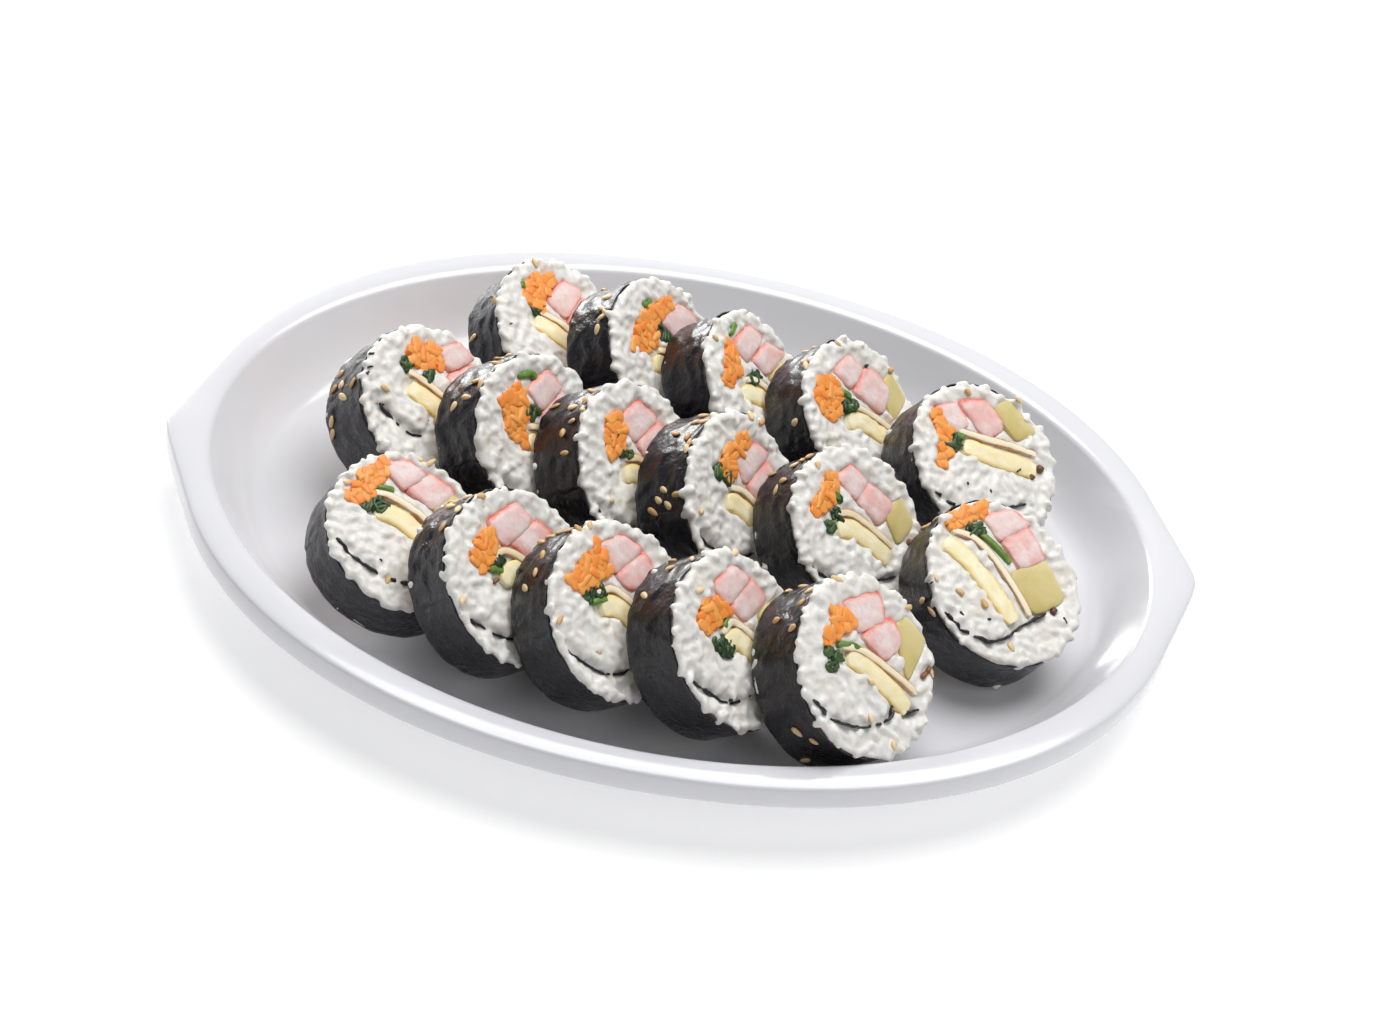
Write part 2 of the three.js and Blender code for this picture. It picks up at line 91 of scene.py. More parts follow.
# What each cut face shows, as places in hundredths of the slice's radius: level across it, then
# up it. Carrot is an outline that shreds fill; the two sticks and the radish are four corners
# each; fish cake, egg, stem and fold are lines; spinach and burdock are spots. The fold is the
# seaweed's own inner end, from the middle of the rice outwards.
FILLING_KINDS = ("carrot", "sticks", "radish", "fish_cake", "egg", "spinach", "stem", "burdock", "fold")
FILLINGS = {
    "front_1": (
        (-46, 66, -16, 78, -6, 88, 18, 86, 20, 72, -2, 62, -28, 52),
        (20, 82, 50, 74, 60, 50, 25, 47, 30, 45, 66, 50, 80, 20, 46, 12),
        (44, 10, 78, 16, 74, -24, 42, -30),
        (-10, 58, 8, 42, 24, 14, 34, -20),
        (-20, 40, -2, 22, 10, -5, 20, -34),
        (-28, 48, -12, 42),
        (-4, 62, 14, 50),
        (66, -34),
        (10, -60, -14, -62, -40, -50, -58, -34, -76, -2, -85, 30),
    ),
    "front_2": (
        (-47, 44, -34, 54, -10, 62, 0, 52, -10, 36, -34, 26),
        (2, 66, 45, 64, 52, 38, 5, 34, 16, 33, 60, 36, 70, 12, 28, 8),
        (45, 4, 78, 6, 74, -32, 42, -34),
        (-24, 16, -10, 32, 6, 26, 22, 2, 36, -28),
        (-20, 2, 0, 8, 14, -14, 26, -42),
        (-14, 24),
        (-30, 24, -14, 14),
        (62, -40, -30, 10),
        (18, -66, -6, -60, -34, -54, -56, -44, -78, -16, -88, 6),
    ),
    "front_3": (
        (-44, 60, -20, 66, 10, 74, 10, 45, -7, 38, -35, 44),
        (12, 70, 45, 66, 62, 42, 18, 36, 16, 34, 62, 38, 62, 10, 26, 12),
        (48, 6, 80, 10, 76, -30, 44, -34),
        (-20, 30, 0, 26, 14, 6, 28, -26),
        (-22, 14, -4, 8, 8, -16, 18, -44),
        (-30, 34, -16, 30),
        (-30, 24, -10, 20),
        (66, -40),
        (22, -68, 4, -58, -30, -56, -55, -44, -76, -20, -88, 5),
    ),
    "front_4": (
        (-42, 44, -25, 56, 2, 52, 6, 32, -10, 26, -36, 26),
        (6, 64, 42, 66, 58, 42, 12, 36, 14, 34, 60, 40, 66, 12, 24, 10),
        (46, 4, 80, 6, 76, -34, 42, -36),
        (-16, 18, 4, 20, 18, 0, 30, -30),
        (-22, 0, -2, 4, 10, -18, 20, -46),
        (-36, 12, -24, 6, -16, -2),
        (-12, 20, 2, 26),
        (64, -42),
        (20, -70, -6, -58, -34, -54, -56, -42, -78, -12, -88, 10),
    ),
    "front_5": (
        (-14, 70, 4, 67, 12, 47, -5, 40, -36, 42, -30, 54, -15, 57),
        (12, 68, 60, 57, 50, 27, 10, 36, 14, 28, 60, 26, 60, 0, 28, -6),
        (62, 16, 80, 18, 92, -14, 44, -38),
        (-20, 33, 3, 16, 24, -14, 47, -55),
        (-16, 20, 0, -4, 16, -36, 26, -64),
        (-40, 36, -34, 24, -44, 18),
        (-24, 36, -8, 28, 8, 10),
        (68, -44, 78, -42),
        (40, -70, 24, -66, 8, -52, -4, -60, -34, -54, -54, -44, -76, -25, -88, 0),
    ),
    "middle_1": (
        (7, 66, 25, 70, 46, 52, 40, 34, 20, 34, 10, 48),
        (46, 50, 80, 44, 86, 20, 48, 22, 42, 18, 80, 14, 78, -12, 40, -8),
        (40, -14, 74, -18, 62, -52, 34, -46),
        (-6, 46, 8, 22, 20, -6, 28, -40),
        (-16, 30, -4, 6, 6, -20, 12, -50),
        (-3, 54, 16, 28),
        (-10, 56, 4, 52),
        (56, -56),
        (-16, -12, -34, -24, -52, -10, -60, 14, -68, 40, -74, 50),
    ),
    "middle_2": (
        (-34, 62, -5, 66, 5, 52, -10, 32, -28, 14, -42, 26),
        (14, 56, 50, 60, 58, 34, 18, 28, 16, 24, 56, 30, 62, 2, 20, 0),
        (36, -4, 70, -2, 70, -38, 36, -38),
        (-10, 22, 6, 10, 18, -12, 28, -44),
        (-20, 8, -6, -4, 6, -28, 14, -54),
        (-4, 38, 4, 30),
        (6, 74, 26, 68, 30, 60),
        (56, -48),
        (20, -66, -6, -60, -34, -54, -56, -44, -78, -16, -88, 6),
    ),
    "middle_3": (
        (-36, 42, -16, 64, 3, 68, 5, 48, -14, 30, -36, 28),
        (6, 58, 42, 62, 58, 32, 12, 28, 14, 24, 56, 28, 64, 0, 22, -4),
        (40, -8, 74, -4, 72, -40, 38, -40),
        (-14, 20, 4, 10, 18, -14, 28, -46),
        (-24, 6, -8, -4, 6, -28, 14, -54),
        (-20, 50, -12, 26),
        (-10, 60, -6, 44),
        (58, -48),
        (16, -68, -6, -60, -36, -54, -56, -42, -78, -14, -88, 8),
    ),
    "middle_4": (
        (-15, 45, 0, 55, 40, 58, 42, 45, 12, 42, -5, 26),
        (16, 42, 55, 40, 72, 18, 18, 10, 20, 6, 66, 12, 66, -18, 26, -18),
        (42, -22, 74, -22, 66, -54, 38, -52),
        (-10, 20, 6, 6, 18, -18, 26, -50),
        (-22, 10, -8, -6, 4, -28, 12, -54),
        (-22, 42, -10, 30),
        (-24, 50, -12, 40),
        (60, -60),
        (12, -70, -8, -62, -36, -54, -58, -40, -80, -10, -88, 12),
    ),
    "middle_5": (
        (-48, 50, -30, 58, -10, 66, 2, 72, 0, 54, -18, 40, -40, 38),
        (8, 62, 36, 64, 46, 38, 18, 30, 20, 28, 48, 34, 66, 0, 32, -8),
        (48, -4, 80, 4, 80, -30, 46, -38),
        (-18, 30, 2, 18, 18, -6, 34, -38),
        (-26, 14, -8, 4, 10, -20, 22, -48),
        (-36, 24, -22, 28, -10, 42),
        (-10, 54, -4, 36),
        (64, -46),
        (22, -68, -4, -60, -34, -54, -56, -44, -78, -16, -88, 6),
    ),
    "middle_6": (
        (-30, 80, -14, 92, 24, 92, 32, 84, 16, 76, -12, 72),
        (22, 74, 60, 68, 70, 46, 26, 43, 28, 41, 66, 43, 66, 7, 32, 7),
        (14, 4, 64, 4, 62, -42, 18, -44),
        (-26, 74, -6, 56, 5, 26, 9, -8, 10, -44),
        (-42, 66, -28, 42, -18, 0, -12, -44),
        (-2, 66, 6, 60),
        (6, 58, 15, 40, 22, 16),
        (42, -50),
        (30, -50, 10, -50, -14, -52, -38, -56, -60, -50, -80, -30, -90, -2),
    ),
    "back_1": (
        (-12, 62, 10, 72, 46, 68, 42, 50, 10, 46, -5, 34),
        (16, 42, 55, 46, 70, 22, 22, 12, 22, 8, 66, 16, 66, -14, 26, -16),
        (42, -20, 74, -20, 66, -52, 38, -50),
        (-10, 40, 4, 16, 14, -10, 22, -46),
        (-22, 34, -10, 8, 0, -18, 8, -50),
        (-6, 44),
        (-6, 76, 6, 72),
        (60, -58),
        (14, -68, -6, -62, -36, -54, -58, -40, -80, -10, -88, 12),
    ),
    "back_2": (
        (-42, 42, -10, 56, 34, 54, 60, 46, 40, 38, 8, 34, -5, 20, -26, 28),
        (26, 36, 70, 32, 85, 2, 36, 6, 30, 0, 74, -2, 70, -30, 30, -26),
        (30, -30, 66, -34, 54, -64, 26, -58),
        (-6, 14, 8, 0, 18, -24, 22, -54),
        (-22, 6, -8, -8, 2, -32, 6, -58),
        (14, 26, 20, 16),
        (10, 64, 26, 62),
        (48, -70),
        (4, -72, -14, -62, -38, -54, -58, -40, -80, -10, -88, 12),
    ),
    "back_3": (
        (-52, 44, -28, 54, -8, 70, 5, 60, -8, 30, -44, 34),
        (6, 62, 50, 60, 62, 36, 14, 32, 24, 28, 65, 26, 85, 0, 36, 0),
        (38, -6, 78, -8, 72, -44, 36, -42),
        (-10, 20, 6, 8, 18, -18, 26, -50),
        (-24, 10, -8, -4, 4, -28, 12, -56),
        (4, 14, 12, 10),
        (10, 72, 30, 76),
        (60, -52),
        (14, -70, -8, -62, -36, -54, -58, -40, -80, -10, -88, 12),
    ),
    "back_4": (
        (-50, 60, -28, 66, -10, 60, -12, 38, -34, 20, -56, 28),
        (2, 64, 38, 64, 45, 40, 10, 34, 14, 28, 56, 38, 70, 0, 36, -14),
        (60, 8, 86, 16, 86, -22, 46, -30),
        (-16, 20, 2, 10, 20, -14, 36, -44),
        (-24, 6, -6, -4, 10, -28, 24, -54),
        (-16, 22, -6, 18),
        (-8, 40, 2, 26),
        (60, -40),
        (24, -68, -4, -60, -34, -54, -56, -44, -78, -16, -88, 6),
    ),
    "back_5": (
        (-36, 72, -26, 72, -24, 50, -34, 34, -54, 14, -64, 20, -46, 42),
        (-28, 78, 2, 74, 4, 46, -20, 44, 10, 72, 44, 60, 50, 26, 18, 22),
        (50, 50, 76, 48, 88, 4, 56, 6),
        (-14, 44, 12, 24, 40, 5, 71, -20),
        (-16, 26, 10, 2, 36, -18, 60, -36),
        (-36, 30, -24, 34),
        (-20, 40, -10, 34),
        (50, -40, 68, -36),
        (30, -66, 6, -62, -24, -58, -50, -50, -74, -30, -90, -4),
    ),
}

# Sesame seeds and black crumbs: on a cut face in hundredths of the radius, on the seaweed as
# degrees round the roll and millimetres from its middle towards the cut face.
FACE_SEEDS = {
    "front_1": (22, 96, 66, 68, 72, 60, -56, -38, -33, 79),
    "front_2": (-86, 15, 5, 92),
    "front_3": (0, 95, -83, 29, 12, 93),
    "front_4": (54, 75, -22, 71),
    "front_5": (16, 92, 50, 82, -7, -15, -30, -46, -17, -84, 25, -92, 54, -79, 88, 26, 80, -46),
    "middle_1": (-53, 43, -12, -18),
    "middle_3": (-66, -6),
    "middle_4": (-75, 25, 66, 68, 78, 54),
    "middle_5": (-13, 85),
    "middle_6": (-84, 46, -80, 34, -61, 9, -33, -67, -39, -13),
    "back_1": (34, 84),
    "back_3": (-24, 86),
    "back_4": (88, 17, 30, 84),
    "back_5": (24, 78, 84, 44),
}
SEAWEED_SEEDS = {
    "front_2": (79, -6, 84, -2, 87, 4, 89, -3, 97, 1, 118, 4, 104, 6),
    "front_3": (86, -6, 86, -2, 96, -5, 113, 1, 126, 1, 135, -2, 90, 3),
    "front_4": (94, 0, 116, -4, 86, 5, 74, -6),
    "front_5": (77, -5, 86, -7, 97, 5, 110, 6, 120, -1, 129, 6, -166, 0, -157, 3, -143, -6),
    "middle_1": (118, -5, 135, 4, 130, -2, 130, -6, 142, 0, 154, -6, 162, -7),
    "middle_2": (76, 0, 92, 5, 111, 3, 115, 6, 123, 2, 128, -2),
    "middle_3": (97, -7, 126, 2, 105, 2, 118, 4, 88, 4, 102, 6, 111, 7, 140, 3),
    "middle_4": (88, 3, 88, 6, 77, 3, 99, -1, 104, 4, 111, 6, 116, 6, 144, 1, 150, -1, 154, 2, 148, 5, 157,
                 -3),
    "middle_5": (93, 5, 98, 4, 101, 2, 104, -6, 117, 2, 123, 0),
    "middle_6": (103, -3, 100, 1, 96, -6, 168, 3, 178, 5),
    "back_1": (122, 6, 138, -5),
    "back_2": (100, 3, 111, 3, 116, 5, 119, 4, 128, 3),
    "back_4": (109, 6, 103, 5, 152, 3),
}
CRUMBS = {
    "front_1": (-53, -15),
    "front_4": (-52, -43),
    "back_1": (-62, 51),
    "back_4": (53, 41),
    "back_5": (-42, -14, -18, -34, 35, -27),
    "middle_1": (-66, 30, -60, 68, -52, 72, -40, 84),
    "middle_6": (-86, 30, -71, -13, -42, -31, 47, -64),
}

# ---- sizes of what the slices are made of ----
WRAP_INSET = 0.75  # from the slice's radius to the single layer of seaweed
WRAP_LAP = 0.24  # how much further out it lies where it covers its own start
WRAP_OVERLAP = 14  # degrees that its outer end lies over its own start
LAP_BEGINS, LAP_RISE = 306, 30  # degrees round from its start to where it rises, and for how far
SQUEEZE = 0.011  # how far the hand presses a roll out of round, as a share of its radius
WRAP_GRID = 270, 20  # points along a sheet of seaweed and across it
INNER_END = 1.5  # over which depth the sheet's outer part turns into its inner end
SEAWEED_THICKNESS = 0.25
FOLD_THICKNESS = 0.7  # where it lies wet and doubled inside the rice
SEAWEED_INSET, BACK_INSET = 1.9, 0.9  # from the front and the back face to the seaweed's edges
FACE_INSET = 0.55  # from the cut face to the rice mass that carries the single grains
RICE_EDGE = ((2.6, .05), (1.5, .35), (.85, .8), (.7, 1.35), (1.3, 1.9))  # its rounding: inward, down
RICE_SIDES = 120
SMALL_LUMP, LARGE_LUMP = 2.4, 5.5  # the two sizes of the rice's unevenness
FILLING_BED = 1.6  # how much lower the rice is where a filling stands
GROOVE_REACH = 1.5  # how far from the seaweed's inner end the rice begins to sink
GRAIN_LENGTH, GRAIN_WIDTH = 4.3, 2.45
GRAIN_SPACING = 2.3  # the least, from grain to grain
MOST_GRAINS = 1.6e6  # to a square metre, where the spacing allows it
GRAIN_SINKS = 0.6  # how deep the lowest grains lie in the mass
RIM_GRAINS_LARGER = 0.2  # at the rim of the cut face, as a share
GRAIN_BLEND = 0.58  # how finely sticky grains are fused with the rice below them
SHRED, LOOSE_SHREDS = 1.9, 3  # from one carrot shred to the next, and how many lie on the face
LEAVES = 4  # round each spot of spinach
FISH_CAKE_WIDTH, EGG_WIDTH, STEM_WIDTH, LEAF_WIDTH = 2.1, 5.6, 1.8, 0.9
SPINACH_REACH = 2.2  # how far round its spot a leaf crumples
FILLING_INSET = 0.4  # from the cut face down to the fillings
SEED_LENGTH, SEED_WIDTH = 3.1, 1.8
SEED_DROP, LONGEST_DROP, SEED_RAISED = 4, 6, 0.28  # where a drop starts, its limit, where it ends
STRAY_SEEDS = 4  # on the far side of each slice, besides those that are listed
FILLING_SWELL = {"carrot": 1.14, "radish": 1.14, "sticks": 1.18}  # pressed wider than their outlines
# Over the seaweed's inner end: the groove's depth, how much lower the rice beyond it lies, and the
# least share of grains there.
OPEN_FOLD, HIDDEN_FOLD = (0.6, 0.6, 0.25), (1.9, 1.3, 0.12)
OPEN_FOLDS = ("front_1", "front_5", "middle_6", "back_5")  # where the seaweed's inner end shows
CREVICE = 1.5  # a gap between two fillings that is too narrow for rice
SPOT_REACH = 1.3  # how far round a spot of leaf or burdock there is no rice
RIM_ZONE = 3.6  # carrot this near to the outside only lies on the cut face


# ---- nodes ----

class Value:
    """A node's output that can stand in a sum, as a number does."""

    def __init__(self, nodes, socket):
        self.nodes, self.socket = nodes, socket

    def _maths(self, operation, first, second):
        return self.nodes.make("ShaderNodeMath", {"operation": operation}, {0: first, 1: second})

    def __add__(self, other):
        return self._maths("ADD", self, other)

    def __radd__(self, other):
        return self._maths("ADD", other, self)

    def __sub__(self, other):
        return self._maths("SUBTRACT", self, other)

    def __rsub__(self, other):
        return self._maths("SUBTRACT", other, self)

    def __mul__(self, other):
        return self._maths("MULTIPLY", self, other)

    def __rmul__(self, other):
        return self._maths("MULTIPLY", other, self)

    def __abs__(self):
        return self._maths("ABSOLUTE", self, 0)

    def or_more(self, other):
        return self._maths("MAXIMUM", self, other)

    def other(self, output):
        """Another output of the same node."""
        return Value(self.nodes, self.socket.node.outputs[output])


class Nodes:
    """The nodes of one material or one geometry tree."""

    def __init__(self, tree):
        self.tree = tree

    def make(self, kind, settings=None, inputs=None, output=0):
        """A node with those settings and those values or links, as one of its outputs."""
        node = self.tree.nodes.new(kind)
        for name, setting in (settings or {}).items():
            setattr(node, name, setting)
        for name, given in (inputs or {}).items():
            if isinstance(given, Value):
                self.tree.links.new(given.socket, node.inputs[name])
            else:
                node.inputs[name].default_value = given
        return Value(self, node.outputs[output]) if node.outputs else node


class Finish(Nodes):
    """A material, with the few patterns that the food and the glaze share."""

    def __init__(self, name):
        self.material = bpy.data.materials.new(name)
        self.material.use_nodes = True
        super().__init__(self.material.node_tree)
        self.tree.nodes.clear()
        self.place = self.make("ShaderNodeTexCoord", output="Object")

    def cloud(self, per_metre, detail=3, roughness=0.55, stretch=None):
        """Soft noise from 0 to 1, with that many blotches to a metre."""
        place = self.place
        if stretch:
            place = self.make("ShaderNodeMapping", inputs={"Vector": place, "Scale": stretch})
        return self.make("ShaderNodeTexNoise", inputs={
            "Vector": place, "Scale": per_metre, "Detail": detail, "Roughness": roughness})

    def contrast(self, value, low, high):
        return self.make("ShaderNodeMapRange", {"clamp": True}, {
            "Value": value, "From Min": low, "From Max": high})

    def mottled(self, per_metre):
        return self.contrast(self.cloud(per_metre, 4), 0.3, 0.7)

    def blend(self, share, first, second):
        """A colour between two colours."""
        colours = {key: given if isinstance(given, Value) else (*given, 1)
                   for key, given in ((6, first), (7, second))}
        return self.make("ShaderNodeMix", {"data_type": "RGBA"}, {0: share, **colours}, output=2)

    def spot(self):
        """What each filling keeps on its mesh: along it, across it, and its own tone."""
        spot = self.make("ShaderNodeAttribute", {"attribute_name": "spot"}, output="Vector")
        along = self.make("ShaderNodeSeparateXYZ", inputs={0: spot})
        return along, along.other("Y"), along.other("Z")

    def relief(self, *heights):
        """A bump from pairs of a height and its depth in millimetres."""
        normal = None
        for height, depth in heights:
            inputs = {"Strength": 1.0, "Distance": depth * MM, "Height": height}
            if normal is not None:
                inputs["Normal"] = normal
            normal = self.make("ShaderNodeBump", inputs=inputs)
        return normal

    def surface(self, colour, roughness, normal, glow=None, **constants):
        """The shader itself. Glow is the share of light that goes in, how far the red, green
        and blue of it go, and in what unit; constants are the other sockets."""
        if glow:
            for socket, value in zip(("Weight", "Radius", "Scale"), glow):
                constants["Subsurface_" + socket] = value
        sockets = {"Base Color": colour, "Roughness": roughness, "Normal": normal}
        sockets.update({name.replace("_", " "): value for name, value in constants.items()})
        shader = self.make("ShaderNodeBsdfPrincipled", inputs=sockets)
        self.make("ShaderNodeOutputMaterial", inputs={"Surface": shader})
        return self.material


def porcelain():
    finish = Finish("white glazed porcelain")
    colour = finish.blend(finish.mottled(14), (0.70, 0.70, 0.728), (0.73, 0.73, 0.755))
    roughness = 0.14 + 0.1 * finish.contrast(finish.cloud(60, 5), 0.35, 0.75)
    normal = finish.relief((finish.cloud(55, 2), 0.05), (finish.cloud(900, 2), 0.004))
    return finish.surface(colour, roughness, normal, Coat_Weight=0.35, Coat_Roughness=0.06)


def dark_seaweed():
    finish = Finish("roasted seaweed")
    blotches = finish.contrast(finish.cloud(150, 5, 0.65), 0.35, 0.7)
    dark = finish.blend(blotches, (0.004, 0.0036, 0.006), (0.014, 0.013, 0.019))
    brown = finish.contrast(finish.cloud(60, 3), 0.54, 0.72)
    colour = finish.blend(0.3 * brown, dark, (0.026, 0.014, 0.014))
    normal = finish.relief((finish.cloud(210, 3, 0.5), 0.9), (finish.cloud(480, 3, 0.6), 0.36),
                           (finish.cloud(1200, 3, 0.6), 0.08))
    return finish.surface(colour, 0.22 + 0.22 * finish.mottled(260), normal, Coat_Weight=0.25,
                          Coat_Roughness=0.22, Specular_IOR_Level=0.42)


def moist_rice():
    finish = Finish("moist cooked rice")
    cloudy = finish.contrast(finish.cloud(420, 2), 0.35, 0.65)
    grain = finish.blend(cloudy, (0.72, 0.70, 0.655), (0.83, 0.82, 0.79))
    tinge = finish.contrast(finish.cloud(95, 3), 0.52, 0.78)
    colour = finish.blend(0.4 * tinge, grain, (0.76, 0.66, 0.50))
    flecks = finish.contrast(finish.cloud(380, 2), 0.735, 0.765)
    colour = finish.blend(0.6 * flecks, colour, (0.42, 0.22, 0.08))
    normal = finish.relief((finish.cloud(420, 2), 0.16), (finish.cloud(1100, 3), 0.05))
    return finish.surface(colour, 0.32 + 0.2 * finish.cloud(500, 3), normal,
                          (0.45, (1.0, 0.82, 0.62), 0.0014), Coat_Weight=0.08)


def shredded_carrot():
    finish = Finish("cooked carrot")
    _, _, tone = finish.spot()
    mixed = finish.mottled(330)
    light = finish.blend(tone, (0.95, 0.25, 0.035), (0.96, 0.42, 0.10))
    colour = finish.blend(0.6 * mixed, light, (0.95, 0.34, 0.065))
    normal = finish.relief((finish.cloud(600, 4), 0.1))
    return finish.surface(colour, 0.34 + 0.2 * mixed, normal, (0.15, (1.0, 0.45, 0.15), 0.001))


def pink_stick():
    finish = Finish("pink and white stick")
    along, across, tone = finish.spot()
    # The red skin covers the upper and the outer side, and shows in places on the others.
    outer, inner = along.or_more(-1 * across), across.or_more(-1 * along)
    ragged = outer.or_more(inner - 0.14) + 0.34 * (finish.cloud(420, 5, 0.65) - 0.5)
    skin = finish.contrast(ragged, 0.74, 0.98)
    fibres = finish.cloud(900, 3, 0.6, (1, 1, 0.25))
    flesh = finish.blend(finish.contrast(fibres, 0.35, 0.65), (0.81, 0.65, 0.625), (0.84, 0.76, 0.745))
    patches = finish.contrast(finish.cloud(170, 3), 0.40, 0.62)
    flesh = finish.blend((0.25 + tone) * patches, flesh, (0.80, 0.44, 0.40))
    flushed = finish.contrast(ragged, 0.35, 0.95)
    flesh = finish.blend(0.35 * flushed, flesh, (0.88, 0.46, 0.40))
    left = finish.contrast(finish.cloud(140, 2), 0.40, 0.60)
    colour = finish.blend(skin * (0.35 + 0.6 * left), flesh, (0.80, 0.14, 0.07))
    normal = finish.relief((fibres, 0.2), (finish.cloud(300, 3), 0.15))
    return finish.surface(colour, 0.34 + 0.16 * fibres, normal, (0.4, (1.0, 0.5, 0.4), 0.0015))


def pickled_radish():
    finish = Finish("pickled radish")
    along, _, _ = finish.spot()
    clear = finish.contrast(finish.cloud(120, 3) + 0.2 * along, 0.3, 0.75)
    colour = finish.blend(clear, (0.60, 0.49, 0.19), (0.71, 0.61, 0.31))
    normal = finish.relief((finish.cloud(260, 4), 0.15))
    return finish.surface(colour, 0.30 + 0.15 * finish.cloud(300, 3), normal,
                          (0.4, (1.0, 0.9, 0.4), 0.002), Specular_IOR_Level=0.35)


def fish_cake():
    finish = Finish("fried fish cake")
    _, across, tone = finish.spot()
    ragged = abs(across + 0.1) + 0.35 * (finish.cloud(380, 4) - 0.5)
    fried = finish.contrast(ragged, 0.66, 0.98)
    pale = finish.blend(tone, (0.88, 0.74, 0.50), (0.92, 0.83, 0.64))
    colour = finish.blend(fried, pale, (0.46, 0.20, 0.045))
    normal = finish.relief((finish.cloud(500, 4), 0.2))
    return finish.surface(colour, 0.42 + 0.2 * finish.cloud(300, 3), normal,
                          (0.15, (1.0, 0.7, 0.4), 0.001))


def egg_slab():
    finish = Finish("cooked egg")
    _, across, _ = finish.spot()
    mottled = finish.mottled(260)
    inner = finish.blend(mottled, (0.90, 0.76, 0.42), (0.94, 0.89, 0.66))
    rim = finish.contrast(abs(across) + 0.5 * (mottled - 0.5), 0.62, 1.0)
    colour = finish.blend(0.75 * rim, inner, (0.90, 0.62, 0.14))
    normal = finish.relief((finish.cloud(420, 4), 0.25))
    return finish.surface(colour, 0.36 + 0.2 * mottled, normal, (0.25, (1.0, 0.8, 0.4), 0.001))


def wilted_greens():
    finish = Finish("wilted greens")
    _, _, tone = finish.spot()
    mottled = finish.mottled(500)
    leaf = finish.blend(mottled, (0.006, 0.022, 0.010), (0.022, 0.062, 0.018))
    stem = finish.blend(mottled, (0.07, 0.19, 0.018), (0.21, 0.35, 0.07))
    normal = finish.relief((finish.cloud(700, 4), 0.3))
    return finish.surface(finish.blend(tone, leaf, stem), 0.28 + 0.25 * mottled, normal, Coat_Weight=0.1)


def braised_burdock():
    finish = Finish("braised burdock")
    _, _, tone = finish.spot()
    mottled = finish.mottled(600)
    dark = finish.blend(mottled, (0.030, 0.014, 0.008), (0.085, 0.038, 0.018))
    colour = finish.blend(tone, dark, (0.24, 0.10, 0.035))
    normal = finish.relief((finish.cloud(700, 4), 0.25))
    return finish.surface(colour, 0.35 + 0.2 * mottled, normal, Coat_Weight=0.1)


def toasted_sesame():
    finish = Finish("toasted sesame")
    tone = finish.make("ShaderNodeAttribute", {"attribute_name": "tone"}, output="Fac")
    mottled = finish.mottled(900)
    light = finish.blend(tone, (0.60, 0.34, 0.12), (0.92, 0.72, 0.44))
    colour = finish.blend(0.35 * mottled, light, (0.66, 0.42, 0.18))
    normal = finish.relief((finish.cloud(1500, 3), 0.08))
    return finish.surface(colour, 0.36 + 0.15 * mottled, normal, (0.1, (1.0, 0.6, 0.3), 0.0006))


# ---- meshes ----

class Heap:
    """Closed shapes that become one mesh, with what each point keeps for its material."""

    def __init__(self):
        self.points, self.faces, self.spots = [], [], []

    def add(self, points, faces, spots):
        start = len(self.points)
        self.points.extend(map(tuple, points))
        self.faces.extend([start + corner for corner in face] for face in faces)
        self.spots.extend(map(tuple, spots))

    def piece(self, name, material):
        piece = new_piece(name, self.points, self.faces, material)
        keep(piece.data, "spot", self.spots, "FLOAT_VECTOR")
        return piece


def stand(name, data):
    """A new object in the scene, at its origin."""
    thing = bpy.data.objects.new(name, data)
    bpy.context.scene.collection.objects.link(thing)
    return thing


def new_piece(name, points, faces, material):
    """A smooth closed mesh, its faces turned outwards. The points are in metres."""
    mesh = bpy.data.meshes.new(name)
    mesh.from_pydata(points, [], faces)
    work = bmesh.new()
    work.from_mesh(mesh)
    bmesh.ops.recalc_face_normals(work, faces=work.faces)
    work.to_mesh(mesh)
    work.free()
    mesh.shade_smooth()
    mesh.materials.append(material)
    return stand(name, mesh)


def keep(mesh, name, values, kind="FLOAT"):
    """Stores a number or a vector at each point of a mesh."""
    attribute = mesh.attributes.new(name, kind, "POINT")
    field = "value" if kind == "FLOAT" else "vector"
    attribute.data.foreach_set(field, np.array(values, np.float32).ravel())


def finish_piece(piece, slot, *nodes):
    """Hangs a piece under the root body and hides the nodes that it stands for. The slot is not used."""
    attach(piece, "root")
    if nodes:
        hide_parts(*nodes)


def grid_faces(rows, columns, closed=False):
    """Four-cornered faces between neighbouring lines of a grid of points."""
    last = columns if closed else columns - 1
    return [(row * columns + column, row * columns + (column + 1) % columns,
             (row + 1) * columns + (column + 1) % columns, (row + 1) * columns + column)
            for row in range(rows - 1) for column in range(last)]


def barrel_faces(rings, sides):
    """The faces of a stack of rings, closed by two more points: before the first, past the last."""
    foot, end = (rings - 1) * sides, rings * sides + 1
    faces = grid_faces(rings, sides, closed=True)
    faces += [(end - 1, side, (side + 1) % sides) for side in range(sides)]
    return faces + [(end, foot + (side + 1) % sides, foot + side) for side in range(sides)]


def two_sided_faces(rows, columns):
    """A grid's faces, the same again for a second layer below it, and the edge between them."""
    count = rows * columns
    faces = grid_faces(rows, columns)
    faces += [tuple(reversed([corner + count for corner in face])) for face in faces]
    edge = ([row * columns for row in range(rows)]
            + [(rows - 1) * columns + column for column in range(1, columns)]
            + [row * columns + columns - 1 for row in range(rows - 2, -1, -1)]
            + list(range(columns - 2, 0, -1)))
    faces += [(here, after, after + count, here + count) for here, after in zip(edge, edge[1:] + edge[:1])]
    return faces


def curve_between(before, start, end, after, share):
    """A place on the smooth curve that runs through four places, between the middle two."""
    return 0.5 * (2 * start + (end - before) * share
                  + (2 * before - 5 * start + 4 * end - after) * share ** 2
                  + (3 * start - before - 3 * end + after) * share ** 3)


